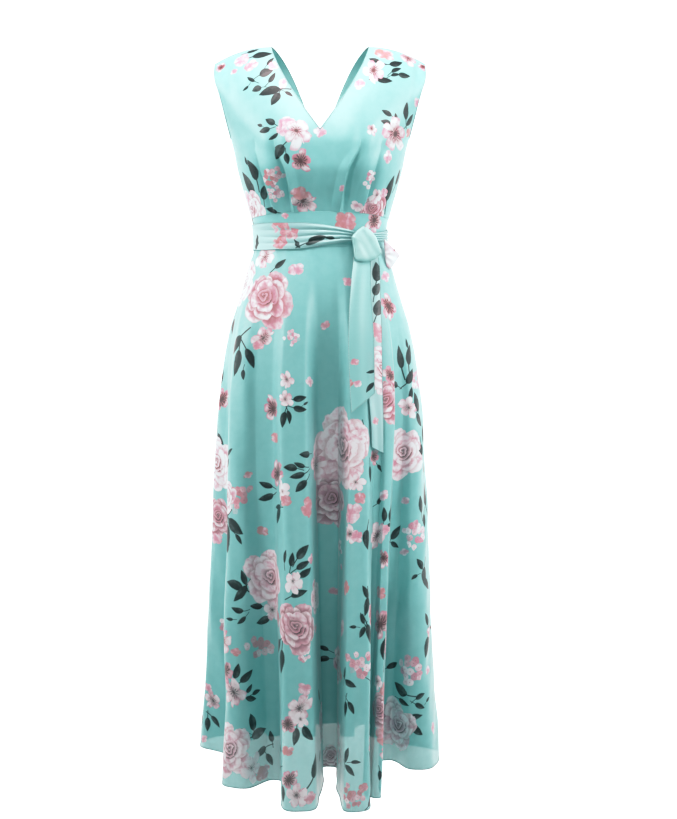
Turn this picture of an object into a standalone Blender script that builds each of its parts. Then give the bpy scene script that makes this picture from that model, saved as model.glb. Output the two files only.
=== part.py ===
"""Sleeveless chiffon maxi dress with a V neck, a tucked bust, a waistband and a tied sash.

Metres, +Z up, the front faces -Y and the wearer's left is at +X. The origin is at the height of
the shoulder tops, midway between the shoulders, where the wearer carries the dress.

Every cloth piece is a wall between an outer skin, worked out from the tables below, and an inner
skin moved in along the same directions. Pieces that lie on another are made from its points.
"""

import math
from collections import namedtuple
from functools import partial

import bmesh
import bpy
import numpy as np

CLOTH = 0.0012
LINING = 0.0010
SASH_CLOTH = 0.0013
SEAM_GAP = 0.0003
LAYER_GAP = 0.0005
ROUNDNESS = 2.2

NECK_HALF_WIDTH = 0.092
FRONT_NECK_POINT, FRONT_NECK_CURVE = -0.165, 1.35
BACK_NECK_POINT, BACK_NECK_CURVE = -0.190, 1.05
SHOULDER_END = 0.1955
SHOULDER_DROP = 0.031
SHOULDER_FADE = -0.110
ARMHOLE_BOTTOM = -0.200
FRONT_SCOOP, BACK_SCOOP = 0.038, 0.032

WAIST_SEAM = -0.319
WAIST_ARCH = 0.0085
WAIST_ARCH_START = -0.225
BAND_BOTTOM = -0.374
SKIRT_TOP = BAND_BOTTOM - SEAM_GAP
HEM = -1.345
LINING_HEM_FRONT, LINING_HEM_BACK = -1.228, -1.310
LINING_HEM_TURN = (50.0, 80.0)

# The body ring at each height, from the shoulders down: half the width between the side edges,
# and how far the cloth stands forward and back of the upright plane through the shoulders.
Level = namedtuple("Level", "z half_width front back")
BODICE_LEVELS = [
    Level(0.000, 0.1955, 0.0000, 0.0000),
    Level(-0.006, 0.1962, 0.0260, 0.0240),
    Level(-0.020, 0.1965, 0.0460, 0.0430),
    Level(-0.050, 0.1940, 0.0660, 0.0620),
    Level(-0.085, 0.1870, 0.0840, 0.0760),
    Level(-0.125, 0.1773, 0.1020, 0.0848),
    Level(-0.165, 0.1675, 0.1155, 0.0882),
    Level(-0.190, 0.1615, 0.1200, 0.0880),
    Level(-0.225, 0.1550, 0.1200, 0.0850),
    Level(-0.260, 0.1460, 0.1130, 0.0800),
    Level(-0.292, 0.1370, 0.1030, 0.0770),
    Level(-0.319, 0.1295, 0.0955, 0.0750),
]
BAND_LEVELS = [
    Level(-0.305, 0.1310, 0.0965, 0.0755),
    Level(-0.319, 0.1285, 0.0950, 0.0750),
    Level(-0.348, 0.1245, 0.0930, 0.0750),
    Level(-0.374, 0.1242, 0.0945, 0.0780),
    Level(-0.382, 0.1262, 0.0965, 0.0815),
]
SKIRT_LEVELS = [
    Level(-0.3743, 0.1238, 0.0940, 0.0775),
    Level(-0.3850, 0.1262, 0.0960, 0.0815),
    Level(-0.4050, 0.1340, 0.1010, 0.0910),
    Level(-0.4350, 0.1430, 0.1090, 0.1020),
    Level(-0.4750, 0.1550, 0.1180, 0.1140),
    Level(-0.5200, 0.1695, 0.1260, 0.1250),
    Level(-0.5750, 0.1810, 0.1330, 0.1330),
    Level(-0.6450, 0.1910, 0.1400, 0.1400),
    Level(-0.7300, 0.1985, 0.1470, 0.1460),
    Level(-0.8300, 0.2050, 0.1540, 0.1520),
    Level(-0.9500, 0.2090, 0.1600, 0.1580),
    Level(-1.0700, 0.2150, 0.1660, 0.1640),
    Level(-1.2000, 0.2210, 0.1720, 0.1700),
    Level(-1.3450, 0.2320, 0.1800, 0.1770),
]
BAND_ROWS = (0.0, 0.35, 0.7, 1.0)
BAND_COLUMNS = 26

# The bust is a soft swelling of the front panel on each side.
BUST_X, BUST_Z = 0.076, -0.195
BUST_SPREAD_X, BUST_SPREAD_Z = 0.046, 0.058
BUST_FULLNESS = 0.009

# Tucks run from the waist seam up to the bust. The cloth on the centre side lies on top and
# ends in a fold edge; x is where that edge lies at the waist seam, halfway up and at its top.
Tuck = namedtuple("Tuck", "x_waist x_middle x_top lift")
TUCK_MIDDLE, TUCK_TOP, TUCK_FADED = -0.245, -0.180, -0.100
TUCK_RISE, TUCK_STEP = 0.015, 0.004
TUCK_SWELL_HEIGHTS = (0.0, 0.25, 0.6, 1.0)
TUCK_SWELL = (0.45, 1.0, 0.7, 0.0)
TUCKS = {
    -1: [Tuck(0.047, 0.060, 0.088, 0.0040), Tuck(0.081, 0.104, 0.125, 0.0034)],
    1: [Tuck(0.036, 0.047, 0.078, 0.0040), Tuck(0.075, 0.096, 0.120, 0.0034)],
}
SIDE_COLUMNS = 3
BACK_COLUMNS = 9

# The skirt's folds, once round from the side seam at -X. Each row is a crest or a valley: its
# bearing on the waist ring in degrees from the front, where it hangs at the hem, half its width
# there, the height where it starts to form, and how far its hem hangs below the rest.
Fold = namedtuple("Fold", "kind bearing hem_x hem_forward half onset hang")
FOLDS = [
    Fold("crest", -90, -0.2335, 0.000, 0.016, -0.38, -0.010),
    Fold("valley", -76, -0.160, 0.040, 0.012, -0.50, -0.004),
    Fold("crest", -58, -0.162, 0.168, 0.026, -0.40, 0.012),
    Fold("valley", -35, -0.084, 0.128, 0.012, -0.42, 0.012),
    Fold("crest", -15, -0.037, 0.236, 0.027, -0.38, 0.030),
    Fold("valley", 5, 0.018, 0.074, 0.013, -0.38, 0.006),
    Fold("crest", 22, 0.066, 0.236, 0.023, -0.42, 0.030),
    Fold("valley", 34, 0.086, 0.150, 0.005, -0.60, 0.022),
    Fold("crest", 42, 0.103, 0.196, 0.007, -0.60, 0.020),
    Fold("valley", 56, 0.126, 0.040, 0.011, -0.44, 0.004),
    Fold("crest", 72, 0.192, 0.090, 0.022, -0.40, 0.006),
    Fold("crest", 90, 0.2295, 0.000, 0.020, -0.38, 0.000),
    Fold("valley", 104, 0.160, -0.048, 0.012, -0.46, 0.000),
    Fold("crest", 118, 0.180, -0.146, 0.022, -0.40, 0.006),
    Fold("valley", 131, 0.112, -0.085, 0.012, -0.44, 0.000),
    Fold("crest", 145, 0.104, -0.206, 0.024, -0.38, 0.012),
    Fold("valley", 158, 0.056, -0.102, 0.012, -0.40, 0.004),
    Fold("crest", 172, 0.016, -0.222, 0.024, -0.38, 0.014),
    Fold("valley", 185, -0.020, -0.100, 0.012, -0.42, 0.004),
    Fold("crest", 198, -0.068, -0.214, 0.024, -0.40, 0.012),
    Fold("valley", 212, -0.092, -0.092, 0.012, -0.38, 0.000),
    Fold("crest", 227, -0.148, -0.168, 0.022, -0.42, 0.008),
    Fold("valley", 243, -0.142, -0.064, 0.011, -0.40, 0.000),
    Fold("crest", 256, -0.208, -0.080, 0.018, -0.44, -0.004),
]
LEFT_SIDE_FOLD = 11
SIDE_CREST, SIDE_ONSET = 0.030, -0.38
FOLD_GROWTH = 1.1
LOBE_ROUNDING = 0.38
LOBE_SHARE = 0.3
FRONT_COLUMNS, REAR_COLUMNS = 58, 60
SKIRT_ROWS = (0.0, 0.012, 0.032, 0.062, 0.104, 0.15, 0.206, 0.278, 0.365, 0.47, 0.595, 0.725, 0.86, 1.0)

# The lining hangs inside the skirt in the same folds, but its crests reach less far out.
LINING_COLUMNS = 84
LINING_ROWS = (0.0, 0.013, 0.035, 0.09, 0.22, 0.37, 0.56, 0.78, 1.0)
LINING_REACH = 0.50
LINING_CREST_WIDTH, LINING_VALLEY_WIDTH = 0.40, 1.90
LINING_VALLEY_INSET = 0.0160
LINING_INSET_TOP, LINING_INSET_HEM = 0.0021, 0.0060
LINING_SETTLED = 0.22

# The sash goes once round over the waistband and narrows under the knot. Each row is a bearing
# with the heights of its top and bottom edges there, and how deep its gathers are.
Span = namedtuple("Span", "bearing top bottom gather")
SASH_SPANS = [
    Span(-270, -0.3390, -0.3620, 0.0018),
    Span(-240, -0.3340, -0.3700, 0.0010),
    Span(-200, -0.3300, -0.3770, 0.0004),
    Span(-90, -0.3310, -0.3780, 0.0003),
    Span(-50, -0.3295, -0.3788, 0.0004),
    Span(-18, -0.3300, -0.3780, 0.0009),
    Span(-6, -0.3320, -0.3745, 0.0015),
    Span(8, -0.3365, -0.3690, 0.0022),
    Span(22, -0.3430, -0.3652, 0.0026),
    Span(38, -0.3490, -0.3640, 0.0028),
    Span(60, -0.3460, -0.3622, 0.0026),
    Span(90, -0.3390, -0.3620, 0.0018),
]
SASH_COLUMNS, SASH_ROWS = 64, 7
SASH_GATHERS = 2

# The knot lies over the sash: its outline as x and height, read along the front of the waist.
KNOT_OUTLINE = [
    (0.0766, -0.3365), (0.0850, -0.3395), (0.0930, -0.3460), (0.1000, -0.3550), (0.1045, -0.3671),
    (0.1100, -0.3810), (0.1100, -0.3880), (0.0987, -0.3975), (0.0878, -0.4012), (0.0768, -0.4022),
    (0.0650, -0.3998), (0.0618, -0.3930), (0.0594, -0.3725), (0.0570, -0.3560), (0.0660, -0.3455),
]
SASH_STACK = LAYER_GAP + SASH_CLOTH + 0.0028
KNOT_STEP_TOP, KNOT_STEP_BOTTOM = -0.364, -0.376
KNOT_STANDOFF = 0.0007
KNOT_THICKNESS = 0.0090

# The small loop stands out beside the knot, on an upright plane that runs off to the side.
LOOP_OUTLINE = [
    (0.000, -0.3585), (0.028, -0.3720), (0.056, -0.3876), (0.040, -0.4010), (0.020, -0.4134),
    (0.006, -0.4085), (0.002, -0.3850),
]
LOOP_ROOT_X, LOOP_ROOT_FORWARD = 0.1183, 0.0520
LOOP_TURN = 42.0
LOOP_THICKNESS = 0.0040

# Both tails hang from under the knot and lie on the skirt. Each row is one place down a tail,
# with the x and height of its two edges there; the last row is the slanted end.
Cut = namedtuple("Cut", "left_x left_z right_x right_z")
FRONT_TAIL = [
    Cut(0.0640, -0.3690, 0.0900, -0.3690),
    Cut(0.0590, -0.4030, 0.0912, -0.4030),
    Cut(0.0546, -0.4530, 0.0914, -0.4530),
    Cut(0.0518, -0.5000, 0.0940, -0.5000),
    Cut(0.0512, -0.5500, 0.0962, -0.5450),
    Cut(0.0528, -0.6145, 0.0972, -0.5950),
    Cut(0.0559, -0.6714, 0.0973, -0.6388),
]
BACK_TAIL = [
    Cut(0.0760, -0.3690, 0.1010, -0.3690),
    Cut(0.0740, -0.4150, 0.1075, -0.4150),
    Cut(0.0730, -0.4700, 0.1093, -0.4700),
    Cut(0.0750, -0.5300, 0.1113, -0.5300),
    Cut(0.0810, -0.5900, 0.1120, -0.5900),
    Cut(0.0870, -0.6500, 0.1127, -0.6500),
    Cut(0.0915, -0.7000, 0.1136, -0.7000),
    Cut(0.0931, -0.7360, 0.1139, -0.7480),
]
TAIL_STANDOFF = 0.0014
TAIL_LAP = 0.03
TAIL_ROWS, TAIL_COLUMNS = 18, 4

# The materials' colours, as red, green and blue between 0 and 1.
PRINTED_AQUA = (0.32, 0.64, 0.62)
PLAIN_AQUA = (0.30, 0.62, 0.60)
DEEP_AQUA = (0.22, 0.52, 0.52)
CLOTH_ROUGHNESS = 0.6


def curve(xs, ys, at):
    """A smooth line through the points (xs, ys), with xs rising, that never overshoots them."""
    xs, ys, at = (np.asarray(values, float) for values in (xs, ys, at))
    steps = np.diff(xs)
    slopes = np.diff(ys) / steps
    before, after = slopes[:-1], slopes[1:]
    total = np.where(before * after > 0, before + after, 1.0)
    inside = np.where(before * after > 0, 2 * before * after / total, 0.0)
    tangents = np.concatenate([slopes[:1], inside, slopes[-1:]])
    span = np.clip(np.searchsorted(xs, at, side="right") - 1, 0, len(steps) - 1)
    t = np.clip((at - xs[span]) / steps[span], 0.0, 1.0)
    start, end = ys[span], ys[span + 1]
    leave, arrive = tangents[span] * steps[span], tangents[span + 1] * steps[span]
    eased = t * t * (3 - 2 * t)
    return start + (end - start) * eased + leave * t * (1 - t) ** 2 - arrive * t * t * (1 - t)


def level_at(levels, z):
    """Half width, front and back reach of the body ring at height z."""
    depths = [-level.z for level in levels]
    names = ("half_width", "front", "back")
    return [curve(depths, [getattr(level, name) for level in levels], -np.asarray(z)) for name in names]


def across(bearing):
    """The share of the half width at a bearing, in radians from the front."""
    return np.sign(np.sin(bearing)) * np.abs(np.sin(bearing)) ** (2 / ROUNDNESS)


def along(bearing):
    """The share of the front or back reach at a bearing."""
    return np.sign(np.cos(bearing)) * np.abs(np.cos(bearing)) ** (2 / ROUNDNESS)


def bearing_of(share):
    """The bearing where across() gives this share of the half width."""
    return np.arcsin(np.clip(share, 0.0, 1.0) ** (ROUNDNESS / 2))


def ring(levels, bearing, z, side_trim=0.0):
    """Points of the body ring as x and forward distance."""
    half, front, back = level_at(levels, z)
    share = along(bearing)
    return np.stack([(half - side_trim) * across(bearing), np.where(share > 0, front, back) * share], -1)


class Skin:
    """The base surface of a cloth piece: points, triangles and the way each point is moved out.

    A point with a key is shared by every face that names it. hold zeroes a part of the direction,
    so that a wall ends flush on a seam, and lift moves a point out, as in a tuck or a gather.
    """

    def __init__(self):
        self.keys = {}
        self.points = []
        self.holds = []
        self.lifts = []
        self.triangles = []

    def point(self, key, position, hold=(1, 1, 1), lift=0.0):
        if key not in self.keys:
            self.keys[key] = len(self.points)
            self.points.append(position)
            self.holds.append(hold)
            self.lifts.append(lift)
        return self.keys[key]

    def quad(self, a, b, c, d):
        self.triangles += [(a, b, c), (a, c, d)]

    def directions(self):
        points, triangles = np.array(self.points), np.array(self.triangles)
        a, b, c = (points[triangles[:, corner]] for corner in range(3))
        normals = np.zeros_like(points)
        for corner in range(3):
            np.add.at(normals, triangles[:, corner], np.cross(b - a, c - a))
        normals *= np.array(self.holds)
        return normals / np.linalg.norm(normals, axis=1, keepdims=True)

    def moved(self, distance):
        reach = np.array(self.lifts)[:, None] + distance
        return np.array(self.points) + self.directions() * reach


def grid_skin(grid, closed=False, holds=None, lifts=None):
    """A skin through rows of points that run down the cloth, with columns going round to +X."""
    skin = Skin()
    rows, columns = grid.shape[:2]
    for row in range(rows):
        for column in range(columns):
            hold = (1, 1, 1) if holds is None else holds(row, column)
            lift = 0.0 if lifts is None else lifts[row, column]
            skin.point((row, column), grid[row, column], hold, lift)
    for row in range(rows - 1):
        for column in range(columns if closed else columns - 1):
            beside = (column + 1) % columns
            corners = ((row, column), (row + 1, column), (row + 1, beside), (row, beside))
            skin.quad(*(skin.keys[corner] for corner in corners))
    return skin


def finish(name, points, triangles, colour):
    """The object of one sub-part, from its closed surface, with its own material."""
    build = bmesh.new()
    corners = [build.verts.new(point) for point in points]
    for triangle in triangles:
        build.faces.new([corners[index] for index in triangle])
    mesh = bpy.data.meshes.new(name)
    build.to_mesh(mesh)
    build.free()
    mesh.shade_smooth()
    mesh.set_sharp_from_angle(angle=math.radians(50))
    material = bpy.data.materials.new(name)
    material.use_nodes = True
    shader = material.node_tree.nodes["Principled BSDF"]
    shader.inputs["Base Color"].default_value = (*colour, 1.0)
    shader.inputs["Roughness"].default_value = CLOTH_ROUGHNESS
    shader.inputs["Metallic"].default_value = 0.0
    mesh.materials.append(material)
    placed = bpy.data.objects.new(name, mesh)
    bpy.context.scene.collection.objects.link(placed)
    return placed


def wall(name, skin, outer, inner, colour):
    """A closed cloth wall between two distances out from a skin."""
    points = np.concatenate([skin.moved(outer), skin.moved(inner)])
    count = len(skin.points)
    triangles = list(skin.triangles)
    triangles += [(c + count, b + count, a + count) for a, b, c in skin.triangles]
    edges = [(a, b) for t in skin.triangles for a, b in zip(t, t[1:] + t[:1])]
    known = set(edges)
    for a, b in edges:
        if (b, a) not in known:
            triangles += [(b, a, a + count), (b, a + count, b + count)]
    return finish(name, points, triangles, colour)


def armhole_edge(z, reach, scoop):
    """The bearing of the armhole's edge on a ring whose front or back reach is given."""
    if z <= ARMHOLE_BOTTOM or reach == 0:
        return math.pi / 2
    depth = scoop * math.sin(math.pi * z / ARMHOLE_BOTTOM) ** 0.8
    return math.acos((depth / reach) ** (ROUNDNESS / 2))


def neck_edge(z, point, bend):
    """Half the width of the V neck at a height."""
    return NECK_HALF_WIDTH * max(0.0, 1 - (z / point) ** bend) if z > point else 0.0


def tuck_columns(tucks, place, side_x):
    """x of each column of half a front panel at one height, and which columns are fold edges."""
    xs, lifts = [0.0], [0.0]
    for tuck in tucks:
        edge = getattr(tuck, place)
        xs += [edge - TUCK_RISE, edge, edge + TUCK_STEP]
        lifts += [0.0, tuck.lift, 0.0]
    last = xs[-1]
    xs += [last + (side_x - last) * step / SIDE_COLUMNS for step in range(1, SIDE_COLUMNS + 1)]
    return xs, lifts + [0.0] * SIDE_COLUMNS


def front_shares(tucks, z):
    """Where the columns of half a front panel lie at height z, as shares of its bearing range."""
    places = ((TUCK_TOP, "x_top"), (TUCK_MIDDLE, "x_middle"), (WAIST_SEAM, "x_waist"))
    count = 2 + 3 * len(tucks) + SIDE_COLUMNS - 1
    heights, shares = [-TUCK_FADED], [np.linspace(0, 1, count)]
    for height, place in places:
        half = float(level_at(BODICE_LEVELS, height)[0])
        xs, _ = tuck_columns(tucks, place, half)
        heights.append(-height)
        shares.append(bearing_of(np.array(xs) / half) / (math.pi / 2))
    return [float(curve(heights, column, -z)) for column in np.array(shares).T]


def bodice_skin(front):
    """The front or back bodice panel: two halves that part above the point of the V."""
    skin = Skin()
    point, bend = (FRONT_NECK_POINT, FRONT_NECK_CURVE) if front else (BACK_NECK_POINT, BACK_NECK_CURVE)
    facing = -1 if front else 1
    for side in (-1, 1):
        rows = []
        for row, level in enumerate(BODICE_LEVELS):
            reach = level.front if front else level.back
            edge = armhole_edge(level.z, reach, FRONT_SCOOP if front else BACK_SCOOP)
            half = level.half_width / float(across(edge))
            neck = neck_edge(level.z, point, bend)
            first = float(bearing_of(neck / half))
            if front:
                shares = front_shares(TUCKS[side], level.z)
                _, lifts = tuck_columns(TUCKS[side], "x_waist", half)
                risen = (level.z - WAIST_SEAM) / (TUCK_TOP - WAIST_SEAM)
                swell = float(curve(TUCK_SWELL_HEIGHTS, TUCK_SWELL, risen))
            else:
                shares = np.linspace(0, 1, BACK_COLUMNS)
                lifts, swell = [0.0] * BACK_COLUMNS, 0.0
            cells = []
            for column, (share, lift) in enumerate(zip(shares, lifts)):
                bearing = first + (edge - first) * share
                x = half * float(across(bearing))
                forward = reach * float(along(bearing))
                z = level.z - SHOULDER_DROP * shoulder_share(x) * float(fade(level.z / SHOULDER_FADE))
                if front:
                    z += WAIST_ARCH * (forward / reach if reach else 0) ** 2 * waist_share(level.z)
                    forward += bust(x, z) if row else 0.0
                at_side = share == 1 and level.z <= ARMHOLE_BOTTOM
                hold = (1, 0 if at_side or row == 0 else 1, 0 if row == len(BODICE_LEVELS) - 1 else 1)
                y = facing * (forward + (SEAM_GAP / 2 if at_side or row == 0 else 0.0))
                shared = column == 0 and neck == 0
                key = (row, 0) if shared else (row, column, side)
                cells.append(skin.point(key, (side * x, y, z), hold, lift * swell))
            rows.append(cells)
        for upper, lower in zip(rows, rows[1:]):
            for column in range(len(upper) - 1):
                corners = [upper[column], lower[column], lower[column + 1], upper[column + 1]]
                skin.quad(*(corners if side * facing < 0 else corners[::-1]))
    return skin


def fade(share):
    """1 at no share, easing to 0 at a full share."""
    t = np.clip(share, 0.0, 1.0)
    return 1 - t * t * (3 - 2 * t)


def shoulder_share(x):
    """How far along the shoulder x lies, squared so that the slope rounds over at its end."""
    return max(0.0, (x - NECK_HALF_WIDTH) / (SHOULDER_END - NECK_HALF_WIDTH)) ** 2


def waist_share(z):
    """How much of the waist seam's arch is felt at height z."""
    return 1 - float(fade((WAIST_ARCH_START - z) / (WAIST_ARCH_START - WAIST_SEAM)))


def bust(x, z):
    """How far the front panel swells forward at a point."""
    aside, above = (abs(x) - BUST_X) / BUST_SPREAD_X, (z - BUST_Z) / BUST_SPREAD_Z
    return BUST_FULLNESS * math.exp(-aside * aside - above * above)


def make_bodice():
    for front, name in ((True, "front"), (False, "back")):
        skin = bodice_skin(front)
        wall(f"bodice_{name}", skin, 0.0, -CLOTH, PRINTED_AQUA)
        skin.lifts = [0.0] * len(skin.points)
        outer = -CLOTH - LAYER_GAP
        wall(f"bodice_lining_{name}", skin, outer, outer - LINING, PLAIN_AQUA)


def make_waistband():
    """Two halves joined at the side seams. The front's top edge arches with the waist seam."""
    for front, name in ((True, "front"), (False, "back")):
        facing = -1 if front else 1
        bearings = np.linspace(-math.pi / 2, math.pi / 2, BAND_COLUMNS + 1)
        grid = np.zeros((len(BAND_ROWS), BAND_COLUMNS + 1, 3))
        for column, bearing in enumerate(bearings):
            arch = WAIST_ARCH * float(along(bearing)) ** 2 if front else 0.0
            top = WAIST_SEAM + arch - SEAM_GAP
            for row, share in enumerate(BAND_ROWS):
                z = top + (BAND_BOTTOM - top) * share
                half, front_reach, back_reach = level_at(BAND_LEVELS, z)
                forward = (front_reach if front else back_reach) * along(bearing)
                grid[row, column] = (half * across(bearing), facing * forward, z)
        grid[:, (0, -1), 1] = facing * SEAM_GAP / 2
        if not front:
            grid = grid[:, ::-1]
        last = BAND_COLUMNS

        def holds(row, column):
            return (1, 0 if column in (0, last) else 1, 0 if row in (0, len(BAND_ROWS) - 1) else 1)

        wall(f"waistband_{name}", grid_skin(grid, holds=holds), 0.0, -CLOTH, PRINTED_AQUA)


class Folds:
    """The fold lobes round the skirt: three knots for each crest or valley, and curves through
    them. reach, the widths and the insets differ between the skirt and its lining."""

    def __init__(self, reach=1.0, crest_width=1.0, valley_width=1.0, valley_inset=0.0):
        hems = np.array([(fold.hem_x, fold.hem_forward) for fold in FOLDS])
        middles = [fold.bearing for fold in FOLDS]
        bearings = [middles[-1] - 360, *middles, middles[0] + 360]
        self.knots, self.bearings, self.onsets, self.hangs = [], [], [], []
        for index, fold in enumerate(FOLDS):
            crest = fold.kind == "crest"
            between = (hems[index - 1] + hems[(index + 1) % len(FOLDS)]) / 2
            outward = (hems[index] - between) * (1 if crest else -1)
            if np.linalg.norm(outward) < fold.half:
                outward = hems[index]
            outward = outward / np.linalg.norm(outward)
            tangent = np.array([outward[1], -outward[0]])
            if crest:
                apex = between + (hems[index] - between) * reach
            else:
                apex = hems[index] - outward * valley_inset
            half = fold.half * (crest_width if crest else valley_width)
            rounding = (-1 if crest else 1) * LOBE_ROUNDING * half
            for side in (-1, 0, 1):
                shoulder = outward * rounding if side else 0.0
                self.knots.append(apex + tangent * half * side + shoulder)
                gap = abs(bearings[index + 1 + side] - fold.bearing)
                self.bearings.append(math.radians(fold.bearing + side * gap * LOBE_SHARE))
                self.onsets.append(fold.onset)
                self.hangs.append(fold.hang)
        self.knots = np.array(self.knots)
        self.steps = np.linalg.norm(np.roll(self.knots, -1, 0) - self.knots, axis=1) ** 0.5
        self.stations = np.concatenate([[0.0], np.cumsum(self.steps)])

    def along(self, values, at):
        """A closed smooth curve through one value or vector for each knot."""
        count, steps = len(self.knots), self.steps
        span = np.clip(np.searchsorted(self.stations, at, side="right") - 1, 0, count - 1)
        t = (at - self.stations[span]) / steps[span]

        def tangent(index):
            before = (values[index % count] - values[index - 1]) / steps[index - 1][:, None]
            after = (values[(index + 1) % count] - values[index % count]) / steps[index % count][:, None]
            weight = (steps[index - 1] / (steps[index - 1] + steps[index % count]))[:, None]
            return (before * (1 - weight) + after * weight) * steps[span][:, None]

        t = t[:, None]
        start, end = values[span], values[(span + 1) % count]
        eased = t * t * (3 - 2 * t)
        bow = tangent(span) * t * (1 - t) ** 2 - tangent(span + 1) * t * t * (1 - t)
        return start + (end - start) * eased + bow

    def bearing(self, at):
        return np.interp(at, self.stations, self.bearings + [self.bearings[0] + 2 * math.pi])

    def plan(self, z, at):
        """Points round the cloth at height z, as x and forward distance."""
        growth = [max(0.0, (onset - z) / (onset - HEM)) ** FOLD_GROWTH for onset in self.onsets]
        offsets = self.knots - self.base(np.array(self.bearings), HEM)
        return self.base(self.bearing(at), z) + self.along(offsets * np.array(growth)[:, None], at)

    def base(self, bearing, z):
        trim = SIDE_CREST * max(0.0, (SIDE_ONSET - z) / (SIDE_ONSET - HEM))
        return ring(SKIRT_LEVELS, bearing, z, trim)

    def hang(self, at):
        return self.along(np.array(self.hangs)[:, None], at)[:, 0]

    def station(self, index):
        """The station of a fold's apex."""
        return self.stations[3 * index + 1]

    def plan_each(self, heights, at):
        """Like plan, with a height for each point."""
        return np.concatenate([self.plan(z, np.array([s])) for z, s in zip(heights, at)])


def skirt_grid(folds, at, rows, bottoms, inset_top=0.0, inset_hem=0.0):
    """Rows of points from the waist to the hem, whose height is given for each column."""
    grid = []
    for share in rows:
        z = SKIRT_TOP + (bottoms - SKIRT_TOP) * share
        plan = folds.plan_each(z, at)
        outward = folds.base(folds.bearing(at), SKIRT_TOP)
        outward /= np.linalg.norm(outward, axis=1, keepdims=True)
        inset = inset_top + (inset_hem - inset_top) * min(1.0, share / LINING_SETTLED)
        x, forward = (plan - outward * inset).T
        grid.append(np.column_stack([x, -forward, z]))
    return np.array(grid)


def make_skirt(folds):
    """Front and back, joined at the side seams, which run down the crests at the sides."""
    first, seam = folds.station(0), folds.station(LEFT_SIDE_FOLD)
    last = folds.stations[-1] + first
    spans = (("front", -1, np.linspace(first, seam, FRONT_COLUMNS + 1)),
             ("back", 1, np.linspace(seam, last, REAR_COLUMNS + 1)))
    for name, facing, at in spans:
        at = at % folds.stations[-1]
        grid = skirt_grid(folds, at, SKIRT_ROWS, HEM - folds.hang(at))
        grid[:, (0, -1), 1] = facing * SEAM_GAP / 2
        edges = (0, len(at) - 1)

        def holds(row, column):
            return (1, 0 if column in edges else 1, 0 if row == 0 else 1)

        wall(f"skirt_{name}", grid_skin(grid, holds=holds), 0.0, -CLOTH, PRINTED_AQUA)


def lining_bottom(bearing):
    """The lining's hem is shorter in front and turns to the longer back over each side."""
    turned = np.abs((np.degrees(bearing) + 180) % 360 - 180)
    share = (turned - LINING_HEM_TURN[0]) / (LINING_HEM_TURN[1] - LINING_HEM_TURN[0])
    return LINING_HEM_BACK + (LINING_HEM_FRONT - LINING_HEM_BACK) * fade(share)


def make_skirt_lining():
    """One tube inside the skirt. It stays inside every valley and reaches partway into the crests."""
    folds = Folds(LINING_REACH, LINING_CREST_WIDTH, LINING_VALLEY_WIDTH, LINING_VALLEY_INSET)
    at = np.linspace(0, folds.stations[-1], LINING_COLUMNS, endpoint=False)
    bottoms = lining_bottom(folds.bearing(at))
    grid = skirt_grid(folds, at, LINING_ROWS, bottoms, LINING_INSET_TOP, LINING_INSET_HEM)
    skin = grid_skin(grid, closed=True, holds=lambda row, column: (1, 1, 0 if row == 0 else 1))
    wall("skirt_lining", skin, 0.0, -LINING, DEEP_AQUA)


def make_sash():
    """A ring over the waistband. Its gathers deepen where the knot draws it together."""
    bearings = np.linspace(-270, 90, SASH_COLUMNS, endpoint=False)
    place = [span.bearing for span in SASH_SPANS]
    tops, bottoms, gathers = (
        curve(place, [getattr(span, name) for span in SASH_SPANS], bearings)
        for name in ("top", "bottom", "gather")
    )
    grid = np.zeros((SASH_ROWS + 1, SASH_COLUMNS, 3))
    lifts = np.zeros((SASH_ROWS + 1, SASH_COLUMNS))
    for row in range(SASH_ROWS + 1):
        share = row / SASH_ROWS
        z = tops + (bottoms - tops) * share
        plan = ring(BAND_LEVELS, np.radians(bearings), z)
        grid[row] = np.column_stack([plan[:, 0], -plan[:, 1], z])
        lifts[row] = gathers * (1 - math.cos(2 * math.pi * SASH_GATHERS * share)) / 2
    skin = grid_skin(grid, closed=True, holds=lambda row, column: (1, 1, 0), lifts=lifts)
    wall("sash_band", skin, LAYER_GAP + SASH_CLOTH, LAYER_GAP, PRINTED_AQUA)


def forward_at_waist(x, z):
    """How far forward the waistband stands at a place on the front."""
    half, front, _ = level_at(BAND_LEVELS, z)
    return float(front * along(bearing_of(min(1.0, x / float(half)))))


def forward_at(folds, x, z):
    """How far forward the waistband or the skirt stands at a place on the front."""
    if z > SKIRT_TOP:
        return forward_at_waist(x, z)
    at = np.linspace(folds.station(2), folds.station(LEFT_SIDE_FOLD), 160)
    plan = folds.plan(z, at)
    left, right = plan[:-1], plan[1:]
    crossing = (left[:, 0] - x) * (right[:, 0] - x) <= 0
    share = (x - left[crossing, 0]) / (right[crossing, 0] - left[crossing, 0])
    return float((left[crossing, 1] + (right[crossing, 1] - left[crossing, 1]) * share).max())


def pad(name, outline, place, thickness, colour):
    """A soft closed form: an outline with a flat back and a crowned front."""
    outline = np.array(outline)
    centre = outline.mean(axis=0)
    layers = ((0.55, 0.0), (1.0, 0.0), (1.0, 0.55), (0.86, 0.88), (0.55, 1.0))
    points, triangles = [place(*centre, 0.0)], []
    for size, height in layers:
        points += [place(*(centre + (corner - centre) * size), thickness * height) for corner in outline]
    points.append(place(*centre, thickness))
    count = len(outline)
    for step in range(count):
        beside = (step + 1) % count
        triangles.append((0, 1 + step, 1 + beside))
        for layer in range(len(layers) - 1):
            low, high = 1 + layer * count, 1 + (layer + 1) * count
            triangles.append((low + step, high + step, low + beside))
            triangles.append((high + step, high + beside, low + beside))
        top = 1 + (len(layers) - 1) * count
        triangles.append((top + step, len(points) - 1, top + beside))
    return finish(name, points, triangles, colour)


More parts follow.
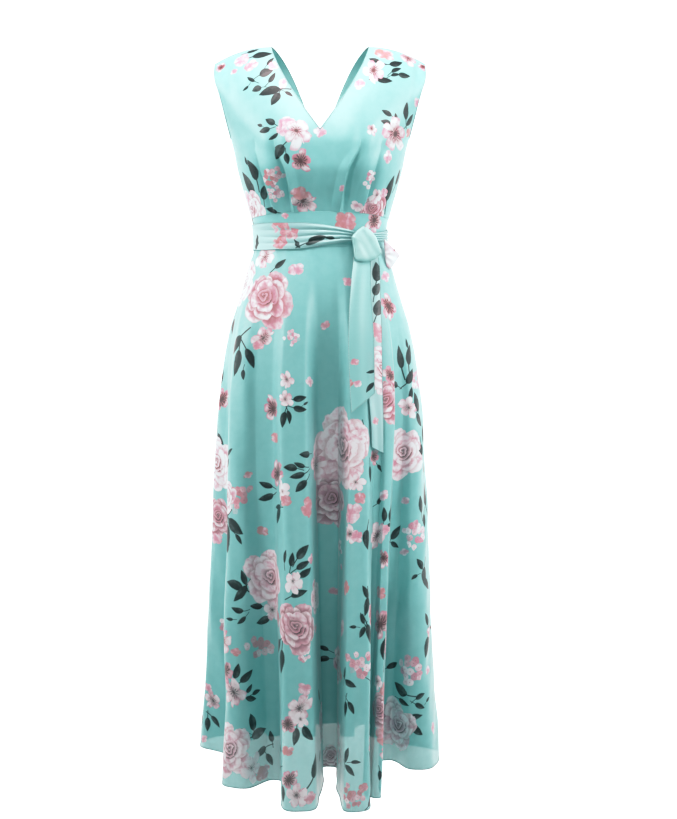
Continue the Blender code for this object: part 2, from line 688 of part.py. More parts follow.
def make_knot(beneath):
    """The wrap of cloth over the crossing. It clears the sash above and the tails below."""

    def on_knot(x, z, out):
        above = fade((KNOT_STEP_TOP - z) / (KNOT_STEP_TOP - KNOT_STEP_BOTTOM))
        forward = forward_at_waist(x, z) + SASH_STACK * above + KNOT_STANDOFF
        forward = max(forward, beneath(x, z) + KNOT_STANDOFF)
        turn = float(bearing_of(x / float(level_at(BAND_LEVELS, z)[0])))
        return (x + out * math.sin(turn), -forward - out * math.cos(turn), z)

    pad("sash_knot", KNOT_OUTLINE, on_knot, KNOT_THICKNESS, PLAIN_AQUA)


def make_loop():
    turn = math.radians(LOOP_TURN)

    def on_loop(run, z, out):
        x = LOOP_ROOT_X + run * math.cos(turn) + out * math.sin(turn)
        forward = LOOP_ROOT_FORWARD - run * math.sin(turn) + out * math.cos(turn)
        return (x, -forward, z)

    pad("sash_loop", LOOP_OUTLINE, on_loop, LOOP_THICKNESS, PRINTED_AQUA)


def make_tail(name, beneath, cuts, colour):
    """A flat tail that hangs against what is beneath it, bridging the hollows across each row.

    It returns how far forward its outer face stands, for a layer that lies on it.
    """
    heights = [-(cut.left_z + cut.right_z) / 2 for cut in cuts]
    rows = np.linspace(heights[0], heights[-1], TAIL_ROWS + 1)
    edges = [curve(heights, [getattr(cut, field) for cut in cuts], rows) for field in Cut._fields]
    grid = np.zeros((TAIL_ROWS + 1, TAIL_COLUMNS + 1, 3))
    shares = np.linspace(0, 1, TAIL_COLUMNS + 1)
    for row, (left_x, left_z, right_x, right_z) in enumerate(zip(*edges)):
        xs = left_x + (right_x - left_x) * shares
        zs = left_z + (right_z - left_z) * shares
        below = np.array([beneath(x, z) for x, z in zip(xs, zs)])
        straight = below[0] + (below[-1] - below[0]) * shares
        bridged = straight + max(0.0, (below - straight).max())
        grid[row] = np.column_stack([xs, -bridged - TAIL_STANDOFF, zs])
    wall(name, grid_skin(grid), SASH_CLOTH, 0.0, colour)
    middles = -grid[:, TAIL_COLUMNS // 2, 2]

    def outer_face(x, z):
        near = np.clip(np.searchsorted(middles, -z), 1, TAIL_ROWS)
        reach = [np.interp(x, grid[row, :, 0], -grid[row, :, 1]) for row in (near - 1, near)]
        return max(beneath(x, z), max(reach) + SASH_CLOTH if -z < middles[-1] + TAIL_LAP else 0.0)

    return outer_face


def main():
    for old in list(bpy.data.objects):
        bpy.data.objects.remove(old, do_unlink=True)
    folds = Folds()
    make_bodice()
    make_waistband()
    make_skirt(folds)
    make_skirt_lining()
    make_sash()
    on_skirt = partial(forward_at, folds)
    on_back_tail = make_tail("sash_tail_back", on_skirt, BACK_TAIL, PRINTED_AQUA)
    on_front_tail = make_tail("sash_tail_front", on_back_tail, FRONT_TAIL, PLAIN_AQUA)
    make_knot(on_front_tail)
    make_loop()


main()
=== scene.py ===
import math
from collections import namedtuple
from functools import partial

import bpy
import numpy as np
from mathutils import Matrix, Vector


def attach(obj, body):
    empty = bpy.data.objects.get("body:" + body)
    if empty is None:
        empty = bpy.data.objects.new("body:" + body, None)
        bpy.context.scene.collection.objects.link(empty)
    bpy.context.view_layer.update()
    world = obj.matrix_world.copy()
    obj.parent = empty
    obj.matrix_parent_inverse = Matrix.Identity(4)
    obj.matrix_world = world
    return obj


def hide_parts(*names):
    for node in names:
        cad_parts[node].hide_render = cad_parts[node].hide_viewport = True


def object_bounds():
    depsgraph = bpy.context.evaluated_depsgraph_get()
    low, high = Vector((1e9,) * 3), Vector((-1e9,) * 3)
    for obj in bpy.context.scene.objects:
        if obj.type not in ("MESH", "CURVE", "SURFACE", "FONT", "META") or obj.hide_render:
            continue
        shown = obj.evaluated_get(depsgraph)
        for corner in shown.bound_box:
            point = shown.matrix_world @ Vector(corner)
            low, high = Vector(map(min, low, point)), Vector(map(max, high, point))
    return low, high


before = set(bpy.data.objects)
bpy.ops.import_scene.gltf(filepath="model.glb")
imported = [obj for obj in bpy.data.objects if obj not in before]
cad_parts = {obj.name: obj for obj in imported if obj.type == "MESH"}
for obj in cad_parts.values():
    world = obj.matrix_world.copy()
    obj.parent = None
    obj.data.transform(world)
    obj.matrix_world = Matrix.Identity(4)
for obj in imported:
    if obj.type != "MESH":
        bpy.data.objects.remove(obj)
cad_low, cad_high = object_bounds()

# The studio. The dress keeps the form of its wearer inside a round white sweep, which is dimmer on the
# camera's side. Broad lights stand to its left and right, one hangs above, and a faint one reaches the
# hem from the low front. The camera looks a little down.
PICTURE_WIDTH, PICTURE_HEIGHT = 677, 819
FOCAL_PIXELS, MIDDLE_ACROSS = 1368.0, 320.0
CAMERA_AWAY, CAMERA_HEIGHT, CAMERA_TILT = 2.6, -0.4707, math.radians(4.58)
FLOOR_DROP = 0.30

camera = bpy.data.objects.new("camera", bpy.data.cameras.new("camera"))
camera.data.sensor_width = 36.0
camera.data.lens = FOCAL_PIXELS * camera.data.sensor_width / PICTURE_HEIGHT
camera.data.shift_x = (PICTURE_WIDTH / 2 - MIDDLE_ACROSS) / PICTURE_HEIGHT
camera.location = (0, -CAMERA_AWAY, CAMERA_HEIGHT)
camera.rotation_euler = (math.pi / 2 - CAMERA_TILT, 0, 0)
bpy.context.scene.collection.objects.link(camera)
bpy.context.scene.camera = camera
look = bpy.context.scene.view_settings
look.view_transform = "Standard"
look.use_curve_mapping = True
# The photo's tones: a little more contrast, and strongly lit cloth pales, as its red rises fastest.
TONES = {
    3: ((0.10, 0.09), (0.20, 0.18), (0.32, 0.29), (0.43, 0.43), (0.60, 0.65), (0.80, 0.87)),
    0: ((0.08, 0.07), (0.16, 0.16), (0.25, 0.30), (0.33, 0.42), (0.45, 0.58), (0.70, 0.77)),
}
for channel, tones in TONES.items():
    for given, shown in tones:
        look.curve_mapping.curves[channel].points.new(given, shown)
look.curve_mapping.update()

surround = bpy.data.worlds.new("white surround")
surround.use_nodes = True
surround.node_tree.nodes["Background"].inputs["Color"].default_value = (1.0, 1.0, 1.0, 1.0)
surround.node_tree.nodes["Background"].inputs["Strength"].default_value = 0.28
bpy.context.scene.world = surround


def soft_light(name, place, aim, size, spread, watts):
    light = bpy.data.lights.new(name, "AREA")
    light.shape, light.size, light.spread, light.energy = "DISK", size, math.radians(spread), watts
    lamp = bpy.data.objects.new(name, light)
    lamp.location = place
    away = lamp.location - type(lamp.location)(aim)
    lamp.rotation_euler = away.to_track_quat("Z", "Y").to_euler()
    bpy.context.scene.collection.objects.link(lamp)


soft_light("overhead", (-0.05, -0.62, 1.05), (0, 0.5, -0.1), 0.7, 70, 5.3)
soft_light("left side", (-2.35, -0.65, 0.6), (0, 0, -0.40), 1.3, 60, 4.7)
soft_light("right side", (2.3, -0.80, 0.5), (0, 0, -0.40), 1.3, 60, 4.9)
soft_light("low front", (-0.1, -3.3, -0.75), (0.19, 0, -0.98), 0.4, 14, 0.08)


class Line:
    """A socket of a material or pattern, so that sums on it are written as Python sums."""

    def __init__(self, tree, socket=None):
        self.tree, self.socket = tree, socket

    def node(self, kind, settings, values, output=0):
        made = self.tree.nodes.new(kind)
        for name, value in settings.items():
            setattr(made, name, value)
        for name, value in values.items():
            if isinstance(value, Line):
                self.tree.links.new(value.socket, made.inputs[name])
            else:
                made.inputs[name].default_value = value
        return Line(self.tree, made.outputs[output])

    def math(self, operation, *others):
        return self.node("ShaderNodeMath", {"operation": operation}, dict(enumerate((self, *others))))

    def __add__(self, other):
        return self.math("ADD", other)

    __radd__ = __add__

    def __sub__(self, other):
        return self.math("SUBTRACT", other)

    def __rsub__(self, other):
        return self.math("MULTIPLY", -1.0).math("ADD", other)

    def __mul__(self, other):
        return self.math("MULTIPLY", other)

    __rmul__ = __mul__

    def __truediv__(self, other):
        return self.math("DIVIDE", other)

    def soft(self, low, high):
        """0 up to low, 1 from high on, and an easy step between."""
        values = {0: self, 1: low, 2: high}
        return self.node("ShaderNodeMapRange", {"interpolation_type": "SMOOTHSTEP"}, values)

    def mix(self, low, high):
        """A colour from low to high by this share."""
        return self.node("ShaderNodeMix", {"data_type": "RGBA"}, {0: self, 6: low, 7: high}, 2)

    def outlets(self):
        """Every output of the node that this line comes from."""
        return [Line(self.tree, socket) for socket in self.socket.node.outputs]

    def parts(self):
        """The X, Y and Z of a vector."""
        return self.node("ShaderNodeSeparateXYZ", {}, {0: self}).outlets()


def new_material(name, roughness, **constants):
    """A material, a line to build on and its shader. Constants are set on the shader's sockets."""
    material = bpy.data.materials.new(name)
    material.use_nodes = True
    shader = material.node_tree.nodes["Principled BSDF"]
    shader.inputs["Roughness"].default_value = roughness
    for socket, value in constants.items():
        shader.inputs[socket.replace("_", " ")].default_value = value
    return material, Line(material.node_tree), shader


sweep, sweep_line, sweep_shader = new_material("white sweep", 0.9, Emission_Strength=0.92)
sweep_shader.inputs["Base Color"].default_value = (0.64, 0.80, 0.80, 1.0)
_, behind, _ = sweep_line.node("ShaderNodeTexCoord", {}, {}, "Object").parts()
glow = behind.soft(0.0, 0.40).mix((0.07, 0.09, 0.09, 1.0), (1.0, 1.0, 1.0, 1.0))
sweep_line.tree.links.new(glow.socket, sweep_shader.inputs["Emission Color"])
FLAT_FLOOR, SWEEP_BEND, SWEEP_WALL, SWEEP_SIDES = 3.9, 0.7, 3.2, 64
bend = np.linspace(0, math.pi / 2, 9)
floor_z = cad_low.z - FLOOR_DROP
out = np.concatenate([[0.01, 2.0], FLAT_FLOOR + SWEEP_BEND * np.sin(bend), [FLAT_FLOOR + SWEEP_BEND]])
up = np.concatenate([[0, 0], SWEEP_BEND * (1 - np.cos(bend)), [SWEEP_WALL]]) + floor_z
round_ = np.linspace(0, 2 * math.pi, SWEEP_SIDES, endpoint=False)
heights = np.outer(up, np.ones(SWEEP_SIDES))
corners = np.stack([np.outer(out, np.cos(round_)), np.outer(out, np.sin(round_)), heights], 2)
index = np.arange(corners.size // 3).reshape(len(out), SWEEP_SIDES)
beside = np.roll(index, -1, axis=1)
faces = np.stack([index[:-1], index[1:], beside[1:], beside[:-1]], axis=-1).reshape(-1, 4)
floor_mesh = bpy.data.meshes.new("floor")
floor_mesh.from_pydata(corners.reshape(-1, 3).tolist(), [], faces.tolist() + [index[0].tolist()])
floor_mesh.shade_smooth()
floor_mesh.materials.append(sweep)
floor = bpy.data.objects.new("floor", floor_mesh)
bpy.context.scene.collection.objects.link(floor)


# The bodice. Two printed chiffon panels meet at the shoulders and sides, with a V neck in front and
# a lower one behind. Two tucks on each side take in the front under the bust.
Level = namedtuple("Level", "z half_width front back")
BODICE_LEVELS = [
    Level(0.000, 0.1955, 0.0000, 0.0000),
    Level(-0.006, 0.1962, 0.0260, 0.0240),
    Level(-0.020, 0.1965, 0.0460, 0.0430),
    Level(-0.050, 0.1940, 0.0660, 0.0620),
    Level(-0.085, 0.1870, 0.0840, 0.0760),
    Level(-0.125, 0.1773, 0.1020, 0.0848),
    Level(-0.165, 0.1675, 0.1155, 0.0882),
    Level(-0.190, 0.1615, 0.1200, 0.0880),
    Level(-0.225, 0.1550, 0.1200, 0.0850),
    Level(-0.260, 0.1460, 0.1130, 0.0800),
    Level(-0.292, 0.1370, 0.1030, 0.0770),
    Level(-0.319, 0.1295, 0.0955, 0.0750),
]
FACINGS = {"front": -1, "back": 1}
CLOTH, LAYER_GAP, SEAM_GAP, ROUNDNESS = 0.0012, 0.0005, 0.0003, 2.2
NECK_HALF_WIDTH = 0.092
NECKS = {"front": (-0.165, 1.35), "back": (-0.190, 0.62)}
SHOULDER_END, SHOULDER_DROP, SHOULDER_FADE = 0.1955, 0.031, -0.110
ARMHOLE_BOTTOM = -0.200
SCOOPS = {"front": 0.038, "back": 0.032}
WAIST_SEAM, WAIST_ARCH, WAIST_ARCH_START = -0.319, 0.0085, -0.225
BUST_X, BUST_Z, BUST_SPREAD_X, BUST_SPREAD_Z, BUST_FULLNESS = 0.076, -0.195, 0.046, 0.058, 0.009
Tuck = namedtuple("Tuck", "x_waist x_middle x_top lift")
TUCK_MIDDLE, TUCK_TOP, TUCK_FADED = -0.245, -0.180, -0.100
TUCKS = {
    -1: [Tuck(0.047, 0.060, 0.088, 0.0078), Tuck(0.081, 0.104, 0.125, 0.0066)],
    1: [Tuck(0.036, 0.047, 0.078, 0.0078), Tuck(0.075, 0.096, 0.120, 0.0066)],
}
# The stops across one tuck: how far from its fold edge, how much it is raised there, and how many
# columns lead up to the stop.
TUCK_STOPS = (
    (-0.017, 0.0, 8), (-0.005, 0.8, 6), (0.0, 1.0, 4), (0.0012, -0.5, 3), (0.006, -1.1, 4), (0.015, -0.35, 4),
)
COLUMNS_BESIDE_TUCKS, BACK_COLUMNS, BODICE_ROWS = 14, 56, 120
# Soft creases: from one place to another, how wide and how deep. Minus is a ridge. They ease in over
# the first rows, and over one part in CREASE_EDGE of the panel from each side edge.
CREASE_ROWS, CREASE_EDGE = 5, 14
Crease = namedtuple("Crease", "x z to_x to_z width depth")
BODICE_CREASES = [
    Crease(0.188, -0.020, 0.170, -0.095, 0.0080, 0.0030),
    Crease(0.176, -0.040, 0.160, -0.120, 0.0070, -0.0016),
    Crease(-0.176, -0.030, -0.160, -0.110, 0.0090, 0.0022),
    Crease(-0.140, -0.020, -0.128, -0.090, 0.0100, 0.0014),
    Crease(-0.150, -0.150, -0.112, -0.205, 0.0100, 0.0018),
    Crease(0.150, -0.160, 0.116, -0.210, 0.0090, 0.0016),
    Crease(-0.088, -0.140, -0.062, -0.300, 0.0130, 0.0052),
    Crease(0.082, -0.130, 0.050, -0.300, 0.0130, 0.0056),
    Crease(0.118, -0.140, 0.088, -0.290, 0.0110, 0.0040),
    Crease(-0.118, -0.160, -0.094, -0.290, 0.0110, 0.0036),
    Crease(-0.024, -0.150, -0.020, -0.300, 0.0160, -0.0016),
    Crease(0.022, -0.160, 0.016, -0.300, 0.0140, -0.0014),
    Crease(-0.022, -0.230, -0.026, -0.310, 0.0060, 0.0008),
    Crease(0.012, -0.250, 0.014, -0.312, 0.0050, 0.0008),
    Crease(0.128, -0.245, 0.112, -0.312, 0.0060, 0.0014),
    Crease(-0.130, -0.255, -0.114, -0.312, 0.0060, 0.0012),
]
BACK_CREASES = [
    Crease(0.060, -0.200, 0.050, -0.312, 0.0080, 0.0018),
    Crease(-0.064, -0.205, -0.052, -0.312, 0.0080, 0.0018),
    Crease(0.150, -0.060, 0.110, -0.170, 0.0120, 0.0018),
    Crease(-0.150, -0.070, -0.106, -0.180, 0.0120, 0.0016),
    Crease(0.020, -0.230, 0.016, -0.310, 0.0070, 0.0010),
    Crease(-0.100, -0.240, -0.088, -0.314, 0.0070, 0.0012),
    Crease(0.106, -0.236, 0.094, -0.312, 0.0070, 0.0012),
]


def curve(xs, ys, at):
    """A smooth line through the points (xs, ys), with xs rising, that never overshoots them."""
    xs, ys, at = (np.asarray(values, float) for values in (xs, ys, at))
    steps = np.diff(xs)
    slopes = np.diff(ys) / steps
    before, after = slopes[:-1], slopes[1:]
    total = np.where(before * after > 0, before + after, 1.0)
    inside = np.where(before * after > 0, 2 * before * after / total, 0.0)
    tangents = np.concatenate([slopes[:1], inside, slopes[-1:]])
    span = np.clip(np.searchsorted(xs, at, side="right") - 1, 0, len(steps) - 1)
    t = np.clip((at - xs[span]) / steps[span], 0.0, 1.0)
    start, end = ys[span], ys[span + 1]
    leave, arrive = tangents[span] * steps[span], tangents[span + 1] * steps[span]
    eased = t * t * (3 - 2 * t)
    return start + (end - start) * eased + leave * t * (1 - t) ** 2 - arrive * t * t * (1 - t)


def level_at(levels, z):
    """Half width, front and back reach of the body ring at height z."""
    depths = [-level.z for level in levels]
    return [curve(depths, [level[field] for level in levels], -np.asarray(z)) for field in (1, 2, 3)]


def across(bearing):
    return np.sign(np.sin(bearing)) * np.abs(np.sin(bearing)) ** (2 / ROUNDNESS)


def along(bearing):
    return np.sign(np.cos(bearing)) * np.abs(np.cos(bearing)) ** (2 / ROUNDNESS)


def bearing_of(share):
    return np.arcsin(np.clip(share, 0.0, 1.0) ** (ROUNDNESS / 2))


def fade(share):
    """1 at no share, easing to 0 at a full share."""
    t = np.clip(share, 0.0, 1.0)
    return 1 - t * t * (3 - 2 * t)


def moved(points, distance):
    """A grid of points moved out along its normals. Rows run down, columns to its right."""
    down = np.gradient(points, axis=0)
    right = np.gradient(points, axis=1)
    normals = np.cross(down, right)
    length = np.linalg.norm(normals, axis=2, keepdims=True)
    return points + normals / np.maximum(length, 1e-12) * np.asarray(distance)[..., None]


def crease_depth(creases, x, z):
    """How far the creases sink the cloth at each place."""
    sunk = np.zeros_like(x)
    for crease in creases:
        run = np.array([crease.to_x - crease.x, crease.to_z - crease.z])
        length = np.linalg.norm(run)
        run = run / length
        far = (x - crease.x) * run[0] + (z - crease.z) * run[1]
        aside = (x - crease.x) * run[1] - (z - crease.z) * run[0]
        held = fade(np.abs(far / length - 0.5) * 2 - 0.2)
        sunk += crease.depth * np.exp(-((aside / crease.width) ** 2)) * held
    return sunk


def tuck_shares(side):
    """For each column of half the front: its share of the bearing at four heights, and its lift."""
    heights = ((TUCK_TOP, "x_top"), (TUCK_MIDDLE, "x_middle"), (WAIST_SEAM, "x_waist"))
    counts = [count for _ in TUCKS[side] for _, _, count in TUCK_STOPS] + [COLUMNS_BESIDE_TUCKS]
    stops = np.concatenate([[0], np.cumsum(counts)])
    columns = np.arange(stops[-1] + 1)
    shares = [columns / stops[-1]]
    for height, place in heights:
        half = float(level_at(BODICE_LEVELS, height)[0])
        edges = [getattr(tuck, place) for tuck in TUCKS[side]]
        xs = [0.0] + [edge + stop for edge in edges for stop, _, _ in TUCK_STOPS] + [half]
        at = np.interp(columns, stops, xs)
        shares.append(bearing_of(at / half) / (math.pi / 2))
    lifts = [0.0] + [tuck.lift * raised for tuck in TUCKS[side] for _, raised, _ in TUCK_STOPS] + [0.0]
    return np.array(shares), np.interp(columns, stops, lifts)


def bodice_half(name, side):
    """One side of a bodice panel: its points, and how far the tucks raise and the creases sink each."""
    front, facing = name == "front", FACINGS[name]
    reaches = [level.front if front else level.back for level in BODICE_LEVELS]
    heights = [level.z for level in BODICE_LEVELS]
    stations = np.concatenate([[0], np.cumsum(np.hypot(np.diff(heights), np.diff(reaches)))])
    at = np.linspace(0, stations[-1], BODICE_ROWS + 1)
    zs, reach = curve(stations, heights, at), curve(stations, reaches, at)
    side_edge = curve(stations, [level.half_width for level in BODICE_LEVELS], at)
    point, bend = NECKS[name]
    neck = np.where(zs > point, NECK_HALF_WIDTH * (1 - np.clip(zs / point, 0, 1) ** bend), 0.0)
    depth = SCOOPS[name] * np.sin(math.pi * np.clip(zs / ARMHOLE_BOTTOM, 0, 1)) ** 0.8
    share = np.clip(depth / np.maximum(reach, 1e-6), 0.0, 0.97) ** (ROUNDNESS / 2)
    edge = np.where(zs > ARMHOLE_BOTTOM, np.arccos(share), math.pi / 2)
    edge[0] = math.pi / 2
    half = side_edge / across(edge)
    first = bearing_of(neck / half)
    if front:
        table, lifts = tuck_shares(side)
        places = [-TUCK_FADED, -TUCK_TOP, -TUCK_MIDDLE, -WAIST_SEAM]
        shares = np.stack([curve(places, column, -zs) for column in table.T], axis=1)
        risen = (zs - WAIST_SEAM) / (TUCK_TOP - WAIST_SEAM)
        swell = curve((0.0, 0.25, 0.6, 1.0), (0.30, 1.0, 0.75, 0.0), risen)
        lift = lifts[None, :] * swell[:, None]
    else:
        shares = np.broadcast_to(np.linspace(0, 1, BACK_COLUMNS + 1), (BODICE_ROWS + 1, BACK_COLUMNS + 1))
        lift = np.zeros_like(shares)
    bearing = first[:, None] + (edge - first)[:, None] * shares
    x = half[:, None] * across(bearing)
    forward = reach[:, None] * along(bearing)
    slope = np.maximum(0, (x - NECK_HALF_WIDTH) / (SHOULDER_END - NECK_HALF_WIDTH)) ** 2
    z = zs[:, None] - SHOULDER_DROP * slope * fade(zs / SHOULDER_FADE)[:, None]
    if front:
        felt = 1 - fade((WAIST_ARCH_START - zs) / (WAIST_ARCH_START - WAIST_SEAM))
        z = z + WAIST_ARCH * (forward / np.maximum(reach, 1e-6)[:, None]) ** 2 * felt[:, None]
        away, above = (x - BUST_X) / BUST_SPREAD_X, (z - BUST_Z) / BUST_SPREAD_Z
        forward = forward + BUST_FULLNESS * np.exp(-away * away - above * above) * (reach > 0)[:, None]
    ends = shares >= 0.999
    closed = (zs <= ARMHOLE_BOTTOM)[:, None] & ends
    closed[0] = True
    y = facing * (forward + np.where(closed, SEAM_GAP / 2, 0.0))
    points = np.stack([side * x, y, z], axis=2)
    if side * facing > 0:
        points, lift, shares = points[:, ::-1], lift[:, ::-1], shares[:, ::-1]
    sunk = crease_depth(BODICE_CREASES if front else BACK_CREASES, points[..., 0], points[..., 2])
    held = np.minimum(1.0, np.minimum(shares, 1 - shares) * CREASE_EDGE)
    held = held * fade(1 - np.arange(BODICE_ROWS + 1) / CREASE_ROWS)[:, None]
    return points, lift - sunk * held


def places_on_cloth(points):
    """The place of each point on the flat cloth: metres to the right and metres down."""
    right = np.linalg.norm(np.diff(points, axis=1), axis=2)
    right = np.concatenate([np.zeros((len(points), 1)), np.cumsum(right, axis=1)], axis=1)
    down = np.linalg.norm(np.diff(points, axis=0), axis=2).mean(axis=1)
    down = np.concatenate([[0], np.cumsum(down)])
    return np.stack([right, np.broadcast_to(down[:, None], right.shape)], axis=2)


def cloth_piece(name, grids, material):
    """One mesh from several grids of points with their places on the cloth, joined where they meet."""
    points, quads, places, base = [], [], [], 0
    for grid, cloth in grids:
        rows, columns = grid.shape[:2]
        index = base + np.arange(rows * columns).reshape(rows, columns)
        corners = [index[:-1, :-1], index[1:, :-1], index[1:, 1:], index[:-1, 1:]]
        quads.append(np.stack(corners, axis=-1).reshape(-1, 4))
        flat = cloth.reshape(-1, 2)
        places.append(flat[quads[-1] - base])
        points.append(grid.reshape(-1, 3))
        base += rows * columns
    points, quads, places = (np.concatenate(part) for part in (points, quads, places))
    _, kept, joined = np.unique(np.round(points, 6), axis=0, return_index=True, return_inverse=True)
    mesh = bpy.data.meshes.new(name)
    mesh.from_pydata(points[kept].tolist(), [], joined.reshape(-1)[quads].tolist())
    mesh.uv_layers.new(name="cloth").data.foreach_set("uv", places.ravel())
    mesh.shade_smooth()
    mesh.materials.append(material)
    piece = bpy.data.objects.new(name, mesh)
    bpy.context.scene.collection.objects.link(piece)
    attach(piece, "root")
    return piece, places


# The print is charted. Each motif of a chart says its kind, where the camera sees its middle, in
# the picture's pixels, half its size, which way it points, and how deep its colour is.
Motif = namedtuple("Motif", "kind across down half turn tint")
PRINT_LAYERS = {"sprig": 2, "leaf": 5, "rose": 2, "bloom": 3, "petal": 2}
PRINT_SCALES = {"sprig": 1.10, "leaf": 1.22, "rose": 1.12, "bloom": 1.08, "petal": 1.04}
sprig, leaf, rose, bloom, petal = (partial(Motif, kind) for kind in PRINT_LAYERS)
STALK_REACH = 1.6
# A motif goes where its pixel is seen, and not on cloth that lies behind or turns away, at these costs
# in pixels.
DEPTH_COST, AWAY_COST, TURNED_AWAY = 60, 60, -0.08


def to_picture(points):
    """Where the camera sees points, in pixels, and how many metres one pixel is there."""
    ahead, up = points[..., 1] + CAMERA_AWAY, points[..., 2] - CAMERA_HEIGHT
    depth = ahead * math.cos(CAMERA_TILT) - up * math.sin(CAMERA_TILT)
    height = up * math.cos(CAMERA_TILT) + ahead * math.sin(CAMERA_TILT)
    right = MIDDLE_ACROSS + FOCAL_PIXELS * points[..., 0] / depth
    return right, PICTURE_HEIGHT / 2 - FOCAL_PIXELS * height / depth, depth / FOCAL_PIXELS


def slip_at(points, cloth, row, column):
    """How far the cloth's rows slide along themselves for each metre down, at a grid point."""
    above, below = max(row - 1, 0), min(row + 1, len(points) - 1)
    left, right = max(column - 1, 0), min(column + 1, points.shape[1] - 1)
    run = points[row, right] - points[row, left]
    run = run / max(np.linalg.norm(run), 1e-9)
    step = cloth[below, column] - cloth[above, column]
    return float((np.dot(points[below, column] - points[above, column], run) - step[0]) / max(step[1], 1e-9))


def seen_stamps(grids, motifs):
    """The motifs as stamps on the cloth: kind, place, half size, angle, tint and slip."""
    stamps = []
    views = [(*to_picture(points), moved(points, 1.0)[..., 1] - points[..., 1]) for points, _ in grids]
    for motif in motifs:
        best = None
        for (points, cloth), (right, down, scale, facing) in zip(grids, views):
            off = np.hypot(right - motif.across, down - motif.down)
            cost = off + scale * FOCAL_PIXELS * DEPTH_COST + np.where(facing < TURNED_AWAY, 0, AWAY_COST)
            spot = np.unravel_index(np.argmin(cost), cost.shape)
            if best is None or cost[spot] < best[0]:
                half = motif.half * scale[spot] * PRINT_SCALES[motif.kind]
                half = half / math.sqrt(max(0.5, -facing[spot]))
                best = (cost[spot], cloth[spot], half, slip_at(points, cloth, *spot))
        _, place, half, slip = best
        stamps.append((motif.kind, *place, half, -math.radians(motif.turn), motif.tint, slip))
    return stamps


def print_cloth(piece, places, stamps):
    """Writes each stamp on the faces that it covers, in a layer of its kind that is free there."""
    middle = places.mean(axis=1)
    reach = np.linalg.norm(places - middle[:, None], axis=2).max(axis=1)
    names = {kind: [f"{kind}{n}" for n in range(count)] for kind, count in PRINT_LAYERS.items()}
    layers = {name: np.zeros((len(middle), 6), np.float32) for kind in names for name in names[kind]}
    for kind, u, v, half, angle, tint, slip in stamps:
        down = middle[:, 1] - v
        size = half * STALK_REACH if kind == "leaf" else half
        covered = np.hypot(middle[:, 0] - u + slip * down, down) < size + reach
        taken = [np.count_nonzero(layers[name][covered, 3]) for name in names[kind]]
        layer = layers[names[kind][int(np.argmin(taken))]]
        covered &= layer[:, 3] == 0
        layer[covered] = (u, v, angle, half, tint, slip)
    for name, values in layers.items():
        for part, share in (("at", values[:, :3]), ("of", values[:, 3:])):
            stored = piece.data.attributes.new(f"{name}_{part}", "FLOAT_VECTOR", "FACE")
            stored.data.foreach_set("vector", np.ascontiguousarray(share).ravel())


# The colours of the print, as red, green and blue between 0 and 1.
AQUA, AQUA_DEEP = (0.290, 0.610, 0.605, 1.0), (0.265, 0.585, 0.580, 1.0)
SASH_AQUA, SASH_PALE = (0.320, 0.630, 0.620, 1.0), (0.380, 0.650, 0.650, 1.0)
LEAF_DARK, LEAF_PALE = (0.008, 0.010, 0.011, 1.0), (0.085, 0.105, 0.105, 1.0)
PETAL_WHITE, PETAL_PINK = (0.740, 0.760, 0.785, 1.0), (0.570, 0.320, 0.410, 1.0)
DUSTY, ROSE_BROWN = (0.280, 0.130, 0.145, 1.0), (0.090, 0.030, 0.034, 1.0)
CORAL = (0.490, 0.250, 0.230, 1.0)


def petal_ring(x, y, count, radius, notch, phase, cloud):
    """How far inside a ring of petals each place is, and how near it is to a gap between two."""
    far = (x * x + y * y).math("SQRT")
    turned = (y.math("ARCTAN2", x) / (2 * math.pi) + phase) * count
    apart = (turned.math("FRACT") - 0.5).math("ABSOLUTE") * 2
    inside = radius - apart.math("POWER", 3.0) * notch + (cloud - 0.5) * 0.16 - far
    return inside, apart, turned.math("FLOORED_MODULO", count)


def draw_leaf(x, y, tint, seed, cloud):
    """A pointed leaf on a thin bowed stalk, nearly black with a paler side and rib."""
    share = ((x + 0.72) / 1.64).math("MAXIMUM", 0.0)
    bowed = y + (x * x - 0.3) * 0.16 * (seed * 2 - 1)
    tip = (1 - share).math("MAXIMUM", 0.0)
    width = share.math("POWER", 0.62) * tip.math("POWER", 0.95) * (0.85 + tint * 0.6 + seed * 0.25)
    aside = bowed.math("ABSOLUTE")
    body = (width - aside + (cloud - 0.5) * 0.10).soft(0.0, 0.05)
    stalk = (0.060 - aside).soft(0.0, 0.03) * (-0.66 - x).soft(-0.06, 0.0) * (x + 1.55).soft(0.0, 0.05)
    pale = (cloud * 1.3 + bowed.soft(-0.05, 0.12) * 0.35 + tint * 0.5 - 0.80).soft(0.0, 0.75)
    rib = (0.020 - aside).soft(0.0, 0.02) * 0.25
    return (pale + rib).mix(LEAF_DARK, LEAF_PALE), body.math("MAXIMUM", stalk)


